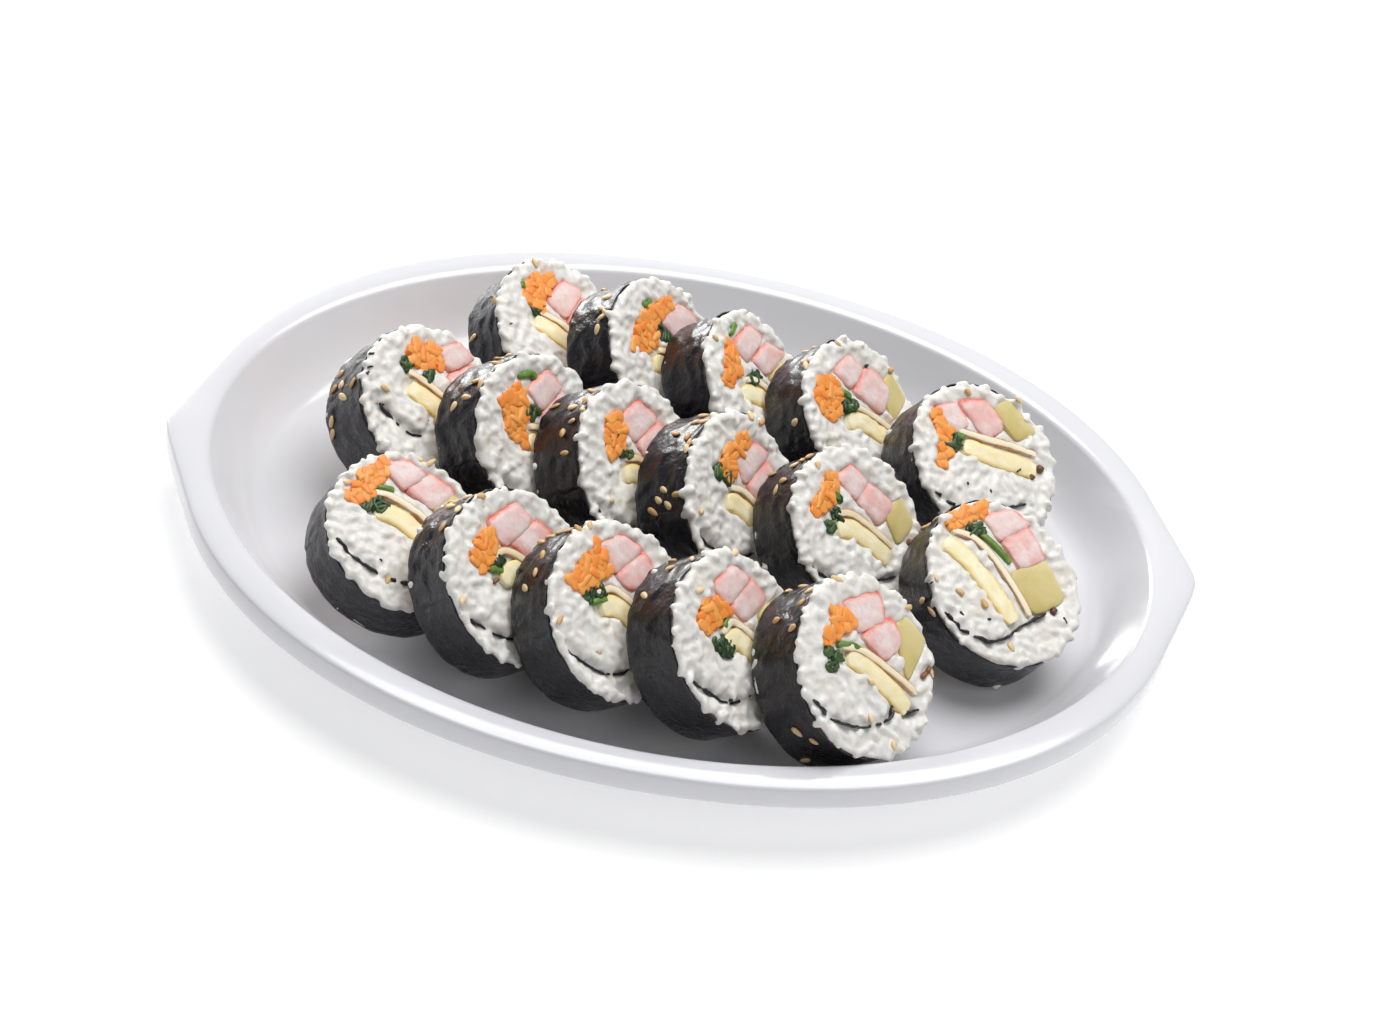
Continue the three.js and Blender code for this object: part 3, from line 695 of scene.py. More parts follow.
def smooth_line(points, count):
    """A smooth line through the points, as `count` points at even distances."""
    points = np.asarray(points, float)
    padded = np.vstack([2 * points[0] - points[1], points, 2 * points[-1] - points[-2]])
    dense = [curve_between(*four, share) for four in zip(padded, padded[1:], padded[2:], padded[3:])
             for share in np.linspace(0, 1, 12, endpoint=False)]
    dense = np.vstack([dense, points[-1:]])
    travelled = distances_along(dense)
    wanted = np.linspace(0, travelled[-1], count)
    return np.column_stack([np.interp(wanted, travelled, dense[:, axis]) for axis in (0, 1)])


def ramp(values, start, length):
    """0 up to the start, then evenly up to 1 over that length."""
    return np.clip((values - start) / length, 0, 1)


def distances_along(line):
    """How far each point of a line is from its first, along it."""
    return np.r_[0, np.cumsum(np.linalg.norm(np.diff(line, axis=0), axis=1))]


def sideways(line):
    """The unit normals of a line in a plane."""
    run = np.gradient(line, axis=0)
    run /= np.linalg.norm(run, axis=1)[:, None]
    return np.column_stack([-run[:, 1], run[:, 0]])


def uneven(points, size, seed):
    """Smooth noise from about -1 to 1 at each point, with humps of about that size."""
    return np.array([noise.noise(Vector((x / size + 31.7 * seed, y / size - 17.3 * seed, z / size)))
                     for x, y, z in points])


def edge_distance(points, starts, edges):
    """How far points lie from the nearest of some edges."""
    offsets = points[:, None] - starts
    share = np.clip((offsets * edges).sum(-1) / (edges ** 2).sum(-1), 0, 1)
    return np.linalg.norm(offsets - share[..., None] * edges, axis=-1).min(1)


def inside_distance(points, outline):
    """How far points lie inside a closed outline. Outside it is negative."""
    starts = np.asarray(outline, float)
    ends = np.roll(starts, -1, axis=0)
    edges = ends - starts
    nearest = edge_distance(points, starts, edges)
    above = starts[:, 1] > points[:, 1:]
    crosses = above != (ends[:, 1] > points[:, 1:])
    rise = np.where(edges[:, 1] == 0, 1e-9, edges[:, 1])
    left = points[:, :1] < edges[:, 0] * (points[:, 1:] - starts[:, 1]) / rise + starts[:, 0]
    return np.where((crosses & left).sum(1) % 2 == 1, nearest, -nearest)


def line_distance(points, line):
    """How far points lie from an open line."""
    line = np.asarray(line, float)
    return edge_distance(points, line[:-1], np.diff(line, axis=0))


# ---- the slices ----

def pairs(numbers):
    """A flat list as rows of two."""
    return np.array(numbers, float).reshape(-1, 2)


class Slice:
    """Where one slice lies, and the lines and spots of what is rolled into it."""

    def __init__(self, name, turn, lean, radius, thickness):
        self.name, self.node = name, "slice_" + name
        self.radius, self.half = radius, thickness / 2
        self.filling_top = self.half - FILLING_INSET
        self.open_fold = name in OPEN_FOLDS
        self.seed = list(SLICES).index(name) + 1
        low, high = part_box(self.node)
        self.middle = np.array((low + high) / 2) / MM
        turn, lean = math.radians(turn), math.radians(lean)
        across = np.array((-math.sin(turn), math.cos(turn), 0))
        out = np.array((math.cos(lean) * math.cos(turn), math.cos(lean) * math.sin(turn), math.sin(lean)))
        self.directions = np.array((across, np.cross(out, across), out))
        self.fillings = {kind: self.on_face(places) for kind, places in zip(FILLING_KINDS, FILLINGS[name])}
        self.fillings["sticks"] = np.split(self.fillings["sticks"], 2)
        for kind, swell in FILLING_SWELL.items():
            outlines = np.array(self.fillings[kind])
            middles = outlines.mean(-2, keepdims=True)
            self.fillings[kind] = middles + swell * (outlines - middles)

    def on_face(self, hundredths):
        return pairs(hundredths) / 100 * self.radius

    def squeezed(self, angles):
        """How far the roll is pressed in at those angles round it, as a share of its radius."""
        ripples = 2 + np.sin(2 * angles + 1.9 * self.seed) + np.sin(3 * angles + 2.3 * self.seed)
        return 1 - SQUEEZE * ripples

    def place(self, points):
        """From the slice's own level-across, up and out, in millimetres, to the scene."""
        return (self.middle + np.asarray(points) @ self.directions) * MM

    def beyond_fold(self, points):
        """How far places on the cut face lie in the rice that was rolled outside the fold."""
        fold = self.fillings["fold"]
        first, last = (math.degrees(math.atan2(end[1], end[0])) for end in (fold[0], fold[-1]))
        around = np.radians(np.arange(last % 360 - 8, first, -12))
        ring = np.column_stack([np.cos(around), np.sin(around)]) * self.radius * 1.1
        return -inside_distance(points, np.vstack([fold, ring]))

    def filling_depth(self, points):
        """How far places on the cut face lie inside any filling. Outside it is negative."""
        fillings = self.fillings
        depths = [inside_distance(points, outline)
                  for outline in (fillings["carrot"], fillings["radish"], *fillings["sticks"])]
        for kind, width in (("fish_cake", FISH_CAKE_WIDTH), ("egg", EGG_WIDTH), ("stem", STEM_WIDTH)):
            depths.append(width / 2 - line_distance(points, fillings[kind]))
        for spot in (*fillings["spinach"], *fillings["burdock"]):
            depths.append(SPOT_REACH - np.linalg.norm(points - spot, axis=1))
        nearest = np.sort(depths, axis=0)
        return np.where(nearest[-2] > -CREVICE, np.maximum(nearest[-1], 0), nearest[-1])


def slab(heap, slice_, outline, stations, columns, top, tone, bottom=None, rounding=0.5,
         relief=0.25, ragged=0.12, lean=(0, 0)):
    """A closed block with rounded edges that stands through a slice, or only near its face.
    `outline` turns places from -1 to 1 along and across into places on the face."""
    bottom = -top if bottom is None else bottom
    along, across = np.meshgrid(np.sin(np.linspace(-1, 1, stations) * math.pi / 2),
                                np.sin(np.linspace(-1, 1, columns) * math.pi / 2), indexing="ij")
    along, across = along.ravel(), across.ravel()
    reach = np.maximum(abs(along), abs(across))
    corner = (abs(along) ** 5 + abs(across) ** 5 + 1e-12) ** 0.2
    flat = outline(along * reach / corner, across * reach / corner)
    seed = slice_.seed + 0.37 * len(heap.points)
    level = np.column_stack([flat, np.zeros(len(flat))])
    flat = flat + ragged * np.column_stack([uneven(level, 1.7, seed), uneven(level, 1.7, seed + 5)])
    high = top - rounding * reach ** 6 + relief * uneven(level, 2.1, seed + 9)
    low = bottom + rounding * reach ** 6 - relief * uneven(level, 2.1, seed + 12)
    points = np.vstack([np.column_stack([flat + np.outer(height, lean), height]) for height in (high, low)])
    spots = np.tile(np.column_stack([along, across, np.full(len(along), tone)]), (2, 1))
    heap.add(slice_.place(points), two_sided_faces(stations, columns), spots)


def four_corners(corners):
    """An outline from four corners, listed round."""
    a, b, c, d = np.asarray(corners, float)

    def outline(along, across):
        s, t = (along[:, None] + 1) / 2, (across[:, None] + 1) / 2
        return (1 - s) * (1 - t) * a + s * (1 - t) * b + s * t * c + (1 - s) * t * d
    return outline


def rectangle(middle, length, width, angle):
    """An outline of even length and width, its length turned by that angle."""
    run = np.array((math.cos(angle), math.sin(angle)))
    side = np.array((-run[1], run[0]))
    return four_corners([np.asarray(middle) + x * length / 2 * run + y * width / 2 * side
                         for x, y in ((-1, -1), (1, -1), (1, 1), (-1, 1))])


def strip(line, width):
    """An outline of even width along a line."""
    fine = smooth_line(line, 60)
    normals = sideways(fine)
    shares = np.linspace(-1, 1, len(fine))

    def outline(along, across):
        here = np.column_stack([np.interp(along, shares, fine[:, axis]) for axis in (0, 1)])
        normal = np.column_stack([np.interp(along, shares, normals[:, axis]) for axis in (0, 1)])
        return here + across[:, None] * normal * width / 2
    return outline


def carrot_shreds(heap, slice_, draw):
    """Shreds that run through the slice, and a few that lie on the cut face."""
    outline = slice_.fillings["carrot"]
    top = slice_.half - FILLING_INSET / 2
    low, high = outline.min(0), outline.max(0)
    rows = np.arange(low[1], high[1] + SHRED, SHRED)
    for row, y in enumerate(rows):
        for x in np.arange(low[0] + (row % 2) * SHRED / 2, high[0] + SHRED, SHRED):
            middle = np.array((x + draw.uniform(-.25, .25), y + draw.uniform(-.25, .25)))
            if inside_distance(middle[None], outline)[0] < 0.1:
                continue
            size = draw.uniform(2.6, 3.8), draw.uniform(2.0, 2.8)
            by_the_wrap = np.linalg.norm(middle) > slice_.radius - RIM_ZONE
            slab(heap, slice_, rectangle(middle, *size, draw.uniform(0, math.pi)), 6, 6,
                 top + draw.uniform(-.2, .12), draw.random(), rounding=.2, relief=.22, ragged=.5,
                 bottom=top - 1.9 if by_the_wrap else None,
                 lean=(draw.uniform(-.04, .04), draw.uniform(-.04, .04)))
    middle = outline.mean(0)
    for _ in range(LOOSE_SHREDS):
        spot = middle + (outline[draw.randrange(len(outline))] - middle) * draw.uniform(.1, .6)
        lying = rectangle(spot, draw.uniform(4, 6), draw.uniform(1.6, 2.2), draw.uniform(0, math.pi))
        slab(heap, slice_, lying, 8, 5, top + .25, draw.random(), bottom=top - 1.2, rounding=.4,
             relief=.3, ragged=.4)


def pink_sticks(heap, slice_, draw):
    """The upper stick shows less of its pink flesh than the lower one."""
    for tone, corners in zip((0.15, 0.55), slice_.fillings["sticks"]):
        slab(heap, slice_, four_corners(corners), 13, 13, slice_.filling_top + draw.uniform(-.1, .3),
             tone, rounding=.7, relief=.35, ragged=.3)


def radish_bar(heap, slice_, draw):
    slab(heap, slice_, four_corners(slice_.fillings["radish"]), 11, 11, slice_.filling_top - .1,
         0.5, rounding=.5, relief=.2, ragged=.15)


def fish_cake_strip(heap, slice_, draw):
    slab(heap, slice_, strip(slice_.fillings["fish_cake"], FISH_CAKE_WIDTH), 24, 7,
         slice_.filling_top + .1, draw.random(), rounding=.3, relief=.25, ragged=.2)


def egg_strip(heap, slice_, draw):
    slab(heap, slice_, strip(slice_.fillings["egg"], EGG_WIDTH), 20, 8,
         slice_.filling_top - .1, draw.random(), rounding=.45, relief=.3, ragged=.3)


def greens(heap, slice_, draw):
    """Crumpled leaves round each spot, and one pale stem."""
    top = slice_.filling_top
    for spot in slice_.fillings["spinach"]:
        for _ in range(LEAVES):
            line = [spot + SPINACH_REACH * np.array((draw.uniform(-1, 1), draw.uniform(-1, 1)))
                    for _ in range(4)]
            slab(heap, slice_, strip(line, LEAF_WIDTH + draw.uniform(0, .5)), 14, 4,
                 top + draw.uniform(-.4, .4), draw.uniform(0, .25), rounding=.25, relief=.4, ragged=.25)
    slab(heap, slice_, strip(slice_.fillings["stem"], STEM_WIDTH), 12, 6, top + .1,
         draw.uniform(.8, 1), rounding=.5, relief=.25, ragged=.2)


def burdock_bits(heap, slice_, draw):
    for spot in slice_.fillings["burdock"]:
        bit = rectangle(spot, draw.uniform(1.8, 2.8), draw.uniform(1.1, 1.7), draw.uniform(0, math.pi))
        slab(heap, slice_, bit, 6, 5, slice_.filling_top + draw.uniform(-.2, .3), draw.random(),
             rounding=.35, relief=.3, ragged=.25)


def rice_mass(slice_, material):
    """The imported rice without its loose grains: lumpy, and lower where a filling stands."""
    half, radius, sides = slice_.half - FACE_INSET, slice_.radius, RICE_SIDES
    face = [(radius * share, half, 1) for share in np.linspace(0.04, 0.87, 24)]
    face += [(radius - inward, half - down, 1) for inward, down in RICE_EDGE]
    wall = [(radius - WRAP_INSET - .45, h, 0) for h in np.linspace(half - 2.2, -half + 2.2, 6)]
    profile = face + wall + [(reach, -h, bare) for reach, h, bare in reversed(face)]
    angles = np.arange(sides) / sides * 2 * math.pi
    squeeze = slice_.squeezed(angles)
    points = np.vstack([np.column_stack([reach * squeeze * np.cos(angles), reach * squeeze * np.sin(angles),
                                         np.full(sides, h)]) for reach, h, _ in profile])
    bare = np.repeat([b for *_, b in profile], sides).astype(float)
    facing = np.sign(points[:, 2]) * (abs(points[:, 2]) > half - .3)  # 0 on the side wall
    depth = slice_.filling_depth(points[:, :2])
    fold = line_distance(points[:, :2], slice_.fillings["fold"])
    groove_depth, drop_beyond, grains_left = OPEN_FOLD if slice_.open_fold else HIDDEN_FOLD

    lumps = uneven(points, SMALL_LUMP, slice_.seed) + 1.1 * uneven(points, LARGE_LUMP, slice_.seed + 3)
    outward = np.column_stack([points[:, :2], np.zeros(len(points))])
    outward /= np.linalg.norm(outward, axis=1)[:, None] + 1e-9
    points = points + outward * (0.45 * lumps * bare - .15)[:, None]
    points[:, 2] += facing * (0.3 * lumps - .3 - FILLING_BED * ramp(depth, -.3, 1.0))
    groove = np.clip(GROOVE_REACH - fold, 0, 1.1) * groove_depth
    groove += drop_beyond * ramp(slice_.beyond_fold(points[:, :2]), 0, 1.2)
    points[:, 2] -= facing * bare * groove

    # Loose grains keep off the fillings, thin out at the fold, and are fewer and a little
    # larger at the rim of the face that shows.
    density = bare * (1 - ramp(depth, -.8, .5)) * np.maximum(ramp(fold, .3, .8), grains_left)
    from_rim = radius - np.linalg.norm(points[:, :2], axis=1)
    behind = points[:, 2] < 0
    near_rim = np.where(behind, 0, 1 - ramp(from_rim, .8, 2.2))
    density *= np.where(behind, ramp(from_rim, 1.8, 1.5), 1 - .45 * (from_rim < 1.45))
    points = slice_.place(np.vstack([points, (0, 0, half), (0, 0, -half)]))
    piece = new_piece("rice_" + slice_.name, points, barrel_faces(len(profile), sides), material)
    keep(piece.data, "bare_rice", (*density, 0, 0))
    keep(piece.data, "near_rim", (*near_rim, 0, 0))
    return piece


def wrap_line(slice_):
    """The seaweed's line on the cut face: from its inner end, once round, and over its start."""
    start = slice_.fillings["fold"]
    inner = slice_.radius - WRAP_INSET
    joins = math.degrees(math.atan2(start[-1][1], start[-1][0])) % 360
    line = [tuple(point) for point in start]
    for angle in np.arange(joins - 9, joins - 361 - WRAP_OVERLAP, -5):
        lap = ramp(joins - LAP_BEGINS - angle, 0, LAP_RISE)
        worn = ramp(joins - 360 - angle, 0, WRAP_OVERLAP)  # it clings to the layer below
        turned = math.radians(angle)
        reach = inner + WRAP_LAP * lap * lap * (3 - 2 * lap) * (1 - 1.6 * worn)
        reach *= slice_.squeezed(turned)
        line.append((reach * math.cos(turned), reach * math.sin(turned)))
    return smooth_line(line, WRAP_GRID[0])


def seaweed_wrap(slice_, material):
    """One sheet of seaweed, crinkled over the rice and most of all on its upper side."""
    line = wrap_line(slice_)
    normals = -sideways(line)
    normals *= np.sign((normals * line).sum(1).mean())
    stations, columns = WRAP_GRID
    half = slice_.half - SEAWEED_INSET
    share = np.tile(np.linspace(-1, 1, columns), stations)
    inmost = slice_.radius * .97 - WRAP_INSET - INNER_END
    outer = np.repeat(ramp(np.linalg.norm(line, axis=1), inmost, INNER_END), columns)
    sheet = np.column_stack([np.repeat(distances_along(line), columns), share * half, np.zeros(len(share))])

    # The inner end reaches towards both cut faces, and hides in the rice where it is shy.
    shy, bolder = 1.9, 0
    if slice_.open_fold:
        shy, bolder = 1.8 + 3.4 * uneven(sheet * (1, 0, 0), 2.3, slice_.seed + 70), 1.2
    limit = SEAWEED_INSET - FACE_INSET + .5
    reach = np.minimum(limit - np.clip(shy, 0, 2.6) + bolder, limit)
    height = share * (half + (1 - outer) * reach)
    height -= outer * np.clip(-share, 0, 1) * (SEAWEED_INSET - BACK_INSET)
    height = height + .45 * uneven(sheet, 4.2, slice_.seed + 40) * abs(share) ** 3

    # Soft crinkles all round, and sharper ones where the sheet faces up and dries.
    upwards = np.repeat(np.clip(normals @ slice_.directions[:2, 2] * 1.5, 0, 1), columns)
    ridges = 1 - 2 * abs(uneven(sheet * (.45, 1, 1), 4.4, slice_.seed + 30))
    rise = outer * ((.12 + .3 * upwards) * uneven(sheet, 3.4, slice_.seed + 20)
                    + (.04 + .4 * upwards) * np.clip(ridges, 0, 1) ** 2) - .12
    rise = rise + (1 - outer) * .5 * uneven(sheet, 2.2, slice_.seed + 50)
    wet = np.clip(.75 + .8 * uneven(sheet, 3.1, slice_.seed + 60), .35, 1.2)
    thickness = SEAWEED_THICKNESS + (1 - outer) * wet * (FOLD_THICKNESS - SEAWEED_THICKNESS)
    normal = np.repeat(normals, columns, axis=0)
    middle = np.repeat(line, columns, axis=0)
    points = np.vstack([np.column_stack([middle + normal * (rise + side * thickness / 2)[:, None], height])
                        for side in (1, -1)])
    faces = two_sided_faces(stations, columns)
    return new_piece("seaweed_" + slice_.name, slice_.place(points), faces, material)


# ---- rice grains and sesame seeds ----

def geometry_tree(name, inputs):
    """An empty tree with those named inputs, and its nodes' maker, inputs and output."""
    tree = bpy.data.node_groups.new(name, "GeometryNodeTree")
    tree.interface.new_socket("Geometry", in_out="OUTPUT", socket_type="NodeSocketGeometry")
    tree.interface.new_socket("Geometry", in_out="INPUT", socket_type="NodeSocketGeometry")
    for label, kind in inputs.items():
        tree.interface.new_socket(label, in_out="INPUT", socket_type="NodeSocket" + kind)
    nodes = Nodes(tree)
    group = tree.nodes.new("NodeGroupInput")
    given = {socket.name: Value(nodes, socket) for socket in group.outputs if socket.name}
    return tree, nodes, given


def drop_shape(nodes, length, width, flatness, taper, bend, blunt):
    """A small rounded grain or seed, lying along X. Taper thins one end and blunt fills both."""
    ball = nodes.make("GeometryNodeMeshUVSphere", inputs={"Segments": 6, "Rings": 6, "Radius": 0.5})
    lying = nodes.make("GeometryNodeTransform", inputs={
        "Geometry": ball, "Rotation": (0, math.pi / 2, 0)})
    x = nodes.make("ShaderNodeSeparateXYZ", inputs={0: nodes.make("GeometryNodeInputPosition")})
    y, z = x.other("Y"), x.other("Z")
    slim = 1 - taper * x + blunt * x * x
    shaped = nodes.make("ShaderNodeCombineXYZ", inputs={
        "X": x * length, "Y": y * slim * width, "Z": z * slim * width * flatness + (bend * length) * x * x})
    moved = nodes.make("GeometryNodeSetPosition", inputs={"Geometry": lying, "Position": shaped})
    return nodes.make("GeometryNodeSetShadeSmooth", inputs={0: moved})


def random_between(nodes, low, high, seed):
    """A random number, or a vector where low and high are, for each point."""
    kind, first, output = ("FLOAT_VECTOR", 0, 0) if isinstance(low, tuple) else ("FLOAT", 2, 1)
    return nodes.make("FunctionNodeRandomValue", {"data_type": kind},
                      {first: low, first + 1: high, "Seed": seed}, output)


def kept_on_mesh(nodes, name, kind="FLOAT"):
    return nodes.make("GeometryNodeInputNamedAttribute", {"data_type": kind}, {"Name": name})


def close_tree(tree, nodes, geometry, material):
    """Ends a tree with plain geometry of one material."""
    whole = nodes.make("GeometryNodeRealizeInstances", inputs={"Geometry": geometry})
    dressed = nodes.make("GeometryNodeSetMaterial", inputs={"Geometry": whole, "Material": material})
    end = tree.nodes.new("NodeGroupOutput")
    tree.links.new(dressed.socket, end.inputs[0])
    return tree


def laid_on(nodes, points, facing, shape, scale, tilt):
    """The shape on every point, turned at random and tilted a little, each with its own tone."""
    turned = nodes.make("FunctionNodeEulerToRotation", inputs={
        0: random_between(nodes, (-tilt[0], -tilt[1], 0.0), (*tilt, 2 * math.pi), 4)})
    rotation = nodes.make("FunctionNodeRotateRotation", {"rotation_space": "LOCAL"}, {0: facing, 1: turned})
    laid = nodes.make("GeometryNodeInstanceOnPoints", inputs={
        "Points": points, "Instance": shape, "Rotation": rotation, "Scale": scale})
    return nodes.make("GeometryNodeStoreNamedAttribute", {"data_type": "FLOAT", "domain": "INSTANCE"}, {
        "Geometry": laid, "Name": "tone", "Value": random_between(nodes, 0.0, 1.0, 6)})


def rice_grain_tree(material):
    """Scatters rice grains over the bare rice of a slice."""
    tree, nodes, given = geometry_tree("rice grains", {
        "Grain length": "Float", "Grain width": "Float", "Spacing": "Float", "Seed": "Int"})
    points = nodes.make("GeometryNodeDistributePointsOnFaces", {"distribute_method": "POISSON"}, {
        "Mesh": given["Geometry"], "Distance Min": given["Spacing"], "Density Max": MOST_GRAINS,
        "Density Factor": kept_on_mesh(nodes, "bare_rice"), "Seed": given["Seed"]})
    facing = points.other("Rotation")
    sunk = nodes.make("ShaderNodeVectorMath", {"operation": "SCALE"}, {
        0: points.other("Normal"), "Scale": random_between(nodes, -GRAIN_SINKS * MM, 0.0, 3)})
    points = nodes.make("GeometryNodeSetPosition", inputs={"Geometry": points, "Offset": sunk})
    grain = drop_shape(nodes, given["Grain length"], given["Grain width"], flatness=0.86, taper=0.1,
                       bend=0.08, blunt=1.4)
    scale = nodes.make("ShaderNodeVectorMath", {"operation": "SCALE"}, {
        0: random_between(nodes, (0.8, 0.85, 0.85), (1.12, 1.12, 1.1), 5),
        "Scale": 1 + RIM_GRAINS_LARGER * kept_on_mesh(nodes, "near_rim")})
    grains = laid_on(nodes, points, facing, grain, scale, tilt=(0.5, 0.35))
    both = tree.nodes.new("GeometryNodeJoinGeometry")
    for part in (given["Geometry"], grains):
        tree.links.new(part.socket, both.inputs[0])
    return close_tree(tree, nodes, Value(nodes, both.outputs[0]), material)


def sesame_tree(material):
    """Lays one seed on every given point, along the direction that the point keeps."""
    tree, nodes, given = geometry_tree("sesame seeds", {"Seed length": "Float", "Seed width": "Float"})
    points = nodes.make("GeometryNodeMeshToPoints", inputs={"Mesh": given["Geometry"]})
    facing = nodes.make("FunctionNodeAlignRotationToVector", {"axis": "Z"}, {
        "Vector": kept_on_mesh(nodes, "facing", "FLOAT_VECTOR")})
    seed = drop_shape(nodes, given["Seed length"], given["Seed width"], flatness=0.55, taper=0.45,
                      bend=0.0, blunt=0.0)
    scale = random_between(nodes, (0.85, 0.85, 0.85), (1.15, 1.15, 1.15), 5)
    return close_tree(tree, nodes, laid_on(nodes, points, facing, seed, scale, tilt=(0.3, 0.3)), material)


def surface_of(*pieces):
    """What a ray meets on those pieces."""
    corners, faces = [], []
    for piece in pieces:
        start = len(corners)
        corners.extend(vertex.co.copy() for vertex in piece.data.vertices)
        faces.extend([start + corner for corner in face.vertices] for face in piece.data.polygons)
    return BVHTree.FromPolygons(corners, faces)


def seed_places(slice_):
    """Where seeds are dropped on a slice, and from which side, in its own directions."""
    draw = random.Random(slice_.seed + 500)
    for place in slice_.on_face(FACE_SEEDS.get(slice_.name, ())):
        yield np.array((*place, slice_.half)), np.array((0, 0, 1.0))
    strays = [(draw.uniform(-10, 75), draw.uniform(-.6, .5) * slice_.half) for _ in range(STRAY_SEEDS)]
    for degrees, height in (*pairs(SEAWEED_SEEDS.get(slice_.name, ())), *strays):
        turned = math.radians(degrees)
        outward = np.array((math.cos(turned), math.sin(turned), 0))
        yield outward * slice_.radius + (0, 0, height), outward


def sesame_seeds(slices, surfaces, tree):
    """Seeds that lie where they are dropped, all in one piece."""
    places, facings = [], []
    for slice_ in slices:
        for start, outward in seed_places(slice_):
            towards = Vector(-outward @ slice_.directions)
            hit, normal, _, travelled = surfaces[slice_.name].ray_cast(
                Vector(slice_.place(start + SEED_DROP * outward)), towards)
            if hit is None or travelled > LONGEST_DROP * MM:
                continue
            facing = (normal - 1.5 * towards).normalized()
            places.append(hit + SEED_RAISED * MM * facing)
            facings.append(facing)
    mesh = bpy.data.meshes.new("sesame_seeds")
    mesh.from_pydata(places, [], [])
    keep(mesh, "facing", facings, "FLOAT_VECTOR")
    return grow(stand("sesame_seeds", mesh), tree, seed_length=SEED_LENGTH * MM, seed_width=SEED_WIDTH * MM)


def seaweed_crumbs(heap, slice_, draw):
    """Black flakes on the rice of a cut face."""
    top = slice_.half - .05
    for spot in slice_.on_face(CRUMBS.get(slice_.name, ())):
        flake = rectangle(spot, draw.uniform(.8, 1.7), draw.uniform(.5, .9), draw.uniform(0, math.pi))
        slab(heap, slice_, flake, 6, 5, top, draw.random(), bottom=top - 1.3, rounding=.3, relief=.3,
             ragged=.5)


def grow(piece, tree, fineness=None, **sizes):
    """Runs a tree on a piece, fuses the result if asked to, and keeps it as a plain mesh."""
    modifier = piece.modifiers.new(tree.name, "NODES")
    modifier.node_group = tree
    for item in tree.interface.items_tree:
        key = item.name.lower().replace(" ", "_")
        if item.in_out == "INPUT" and key in sizes:
            modifier[item.identifier] = sizes[key]
    if fineness:
        fused = piece.modifiers.new("fused", "REMESH")
        fused.mode = "VOXEL"
        fused.voxel_size = fineness
        fused.use_smooth_shade = True
    evaluated = piece.evaluated_get(bpy.context.evaluated_depsgraph_get())
    mesh = bpy.data.meshes.new_from_object(evaluated)
    piece.modifiers.clear()
    piece.data = mesh
    return piece


# ---- the platter ----

def oval_ring(half_length, half_width, squareness, height):
    """Points round an oval. At a squareness of 2 it is an ellipse."""
    angles = np.arange(PLATTER_SIDES) / PLATTER_SIDES * 2 * math.pi
    power = 2 / squareness
    x = half_length * np.sign(np.cos(angles)) * abs(np.cos(angles)) ** power
    y = half_width * np.sign(np.sin(angles)) * abs(np.sin(angles)) ** power
    return np.column_stack([x, y, np.full(PLATTER_SIDES, height)])


def well_ring(inset, height):
    """The well's edge, or a smaller oval inside it."""
    return oval_ring(WELL_HALF_LENGTH - inset, WELL_HALF_WIDTH - inset, 2, height)


def tab_tangent():
    """Where the line from a tab's tip just touches the oval: its slope, and how far round."""
    power = 2 / RIM_SQUARENESS
    angles = np.arange(1, 900) / 900 * math.pi / 2
    x, y = HALF_LENGTH * np.cos(angles) ** power, HALF_WIDTH * np.sin(angles) ** power
    slopes = np.arctan((TIP_REACH - x) / y)
    best = slopes.argmin()
    return slopes[best], y[best] / math.hypot(x[best], y[best])


def rim_ring(inset, height):
    """The outer edge: the oval, drawn out at both ends to a point along its own tangents."""
    slope, tangent_across = tab_tangent()
    ring = oval_ring(HALF_LENGTH - inset, HALF_WIDTH - inset, RIM_SQUARENESS, height)
    reach = np.hypot(ring[:, 0], ring[:, 1])
    along, across = abs(ring[:, 0]) / reach, abs(ring[:, 1]) / reach
    softened = np.hypot(across, TIP_ROUNDING)
    edge = TIP_REACH * math.cos(slope) - inset
    tab_reach = edge / (along * math.cos(slope) + softened * math.sin(slope))
    is_tab = (along > 0.5) & (across < tangent_across) & (tab_reach > reach)
    ring[:, :2] *= np.where(is_tab, tab_reach / reach, 1)[:, None]
    return ring


def platter(material):
    """The dish in one smooth skin: foot, underside, lip, flat rim, wall and floor."""
    under_floor, under_lip = FLOOR_HEIGHT - FLOOR_THICKNESS, RIM_HEIGHT - LIP_DEPTH
    depth = RIM_HEIGHT - FLOOR_HEIGHT
    foot_inner = FOOT_INSET + FOOT_WIDTH
    foot = ((60, under_floor), (foot_inner + 6, under_floor), (foot_inner + 1, under_floor),
            (foot_inner + .1, .8), (foot_inner - .6, 0), (FOOT_INSET + .6, 0), (FOOT_INSET, .6))
    lip = ((4.2, under_lip - .6), (.9, under_lip), (0, under_lip + 1.2), (0, RIM_HEIGHT - 1.4),
           (.9, RIM_HEIGHT))
    wall = [(inset, RIM_HEIGHT - share * depth) for inset, share in WELL_WALL]
    well = ((-3.4, RIM_HEIGHT + RIM_CROWN), *wall, (FLOOR_INSET, FLOOR_HEIGHT), (30, FLOOR_HEIGHT),
            (60, FLOOR_HEIGHT))
    rings = [ring(inset, height) for ring, steps in ((well_ring, foot), (rim_ring, lip), (well_ring, well))
             for inset, height in steps]
    padded = [rings[0]] + rings + [rings[-1]]
    smooth = [curve_between(*four, share) for four in zip(padded, padded[1:], padded[2:], padded[3:])
              for share in (0, .25, .5, .75)]
    smooth.append(rings[-1])
    points = np.vstack([*smooth, (0, 0, under_floor), (0, 0, FLOOR_HEIGHT)])
    points[:, 2] = np.maximum(points[:, 2], 0)
    return new_piece("platter_glazed", points * MM, barrel_faces(len(smooth), PLATTER_SIDES), material)


# ---- making it all ----

finish_piece(platter(porcelain()), "porcelain", "platter")

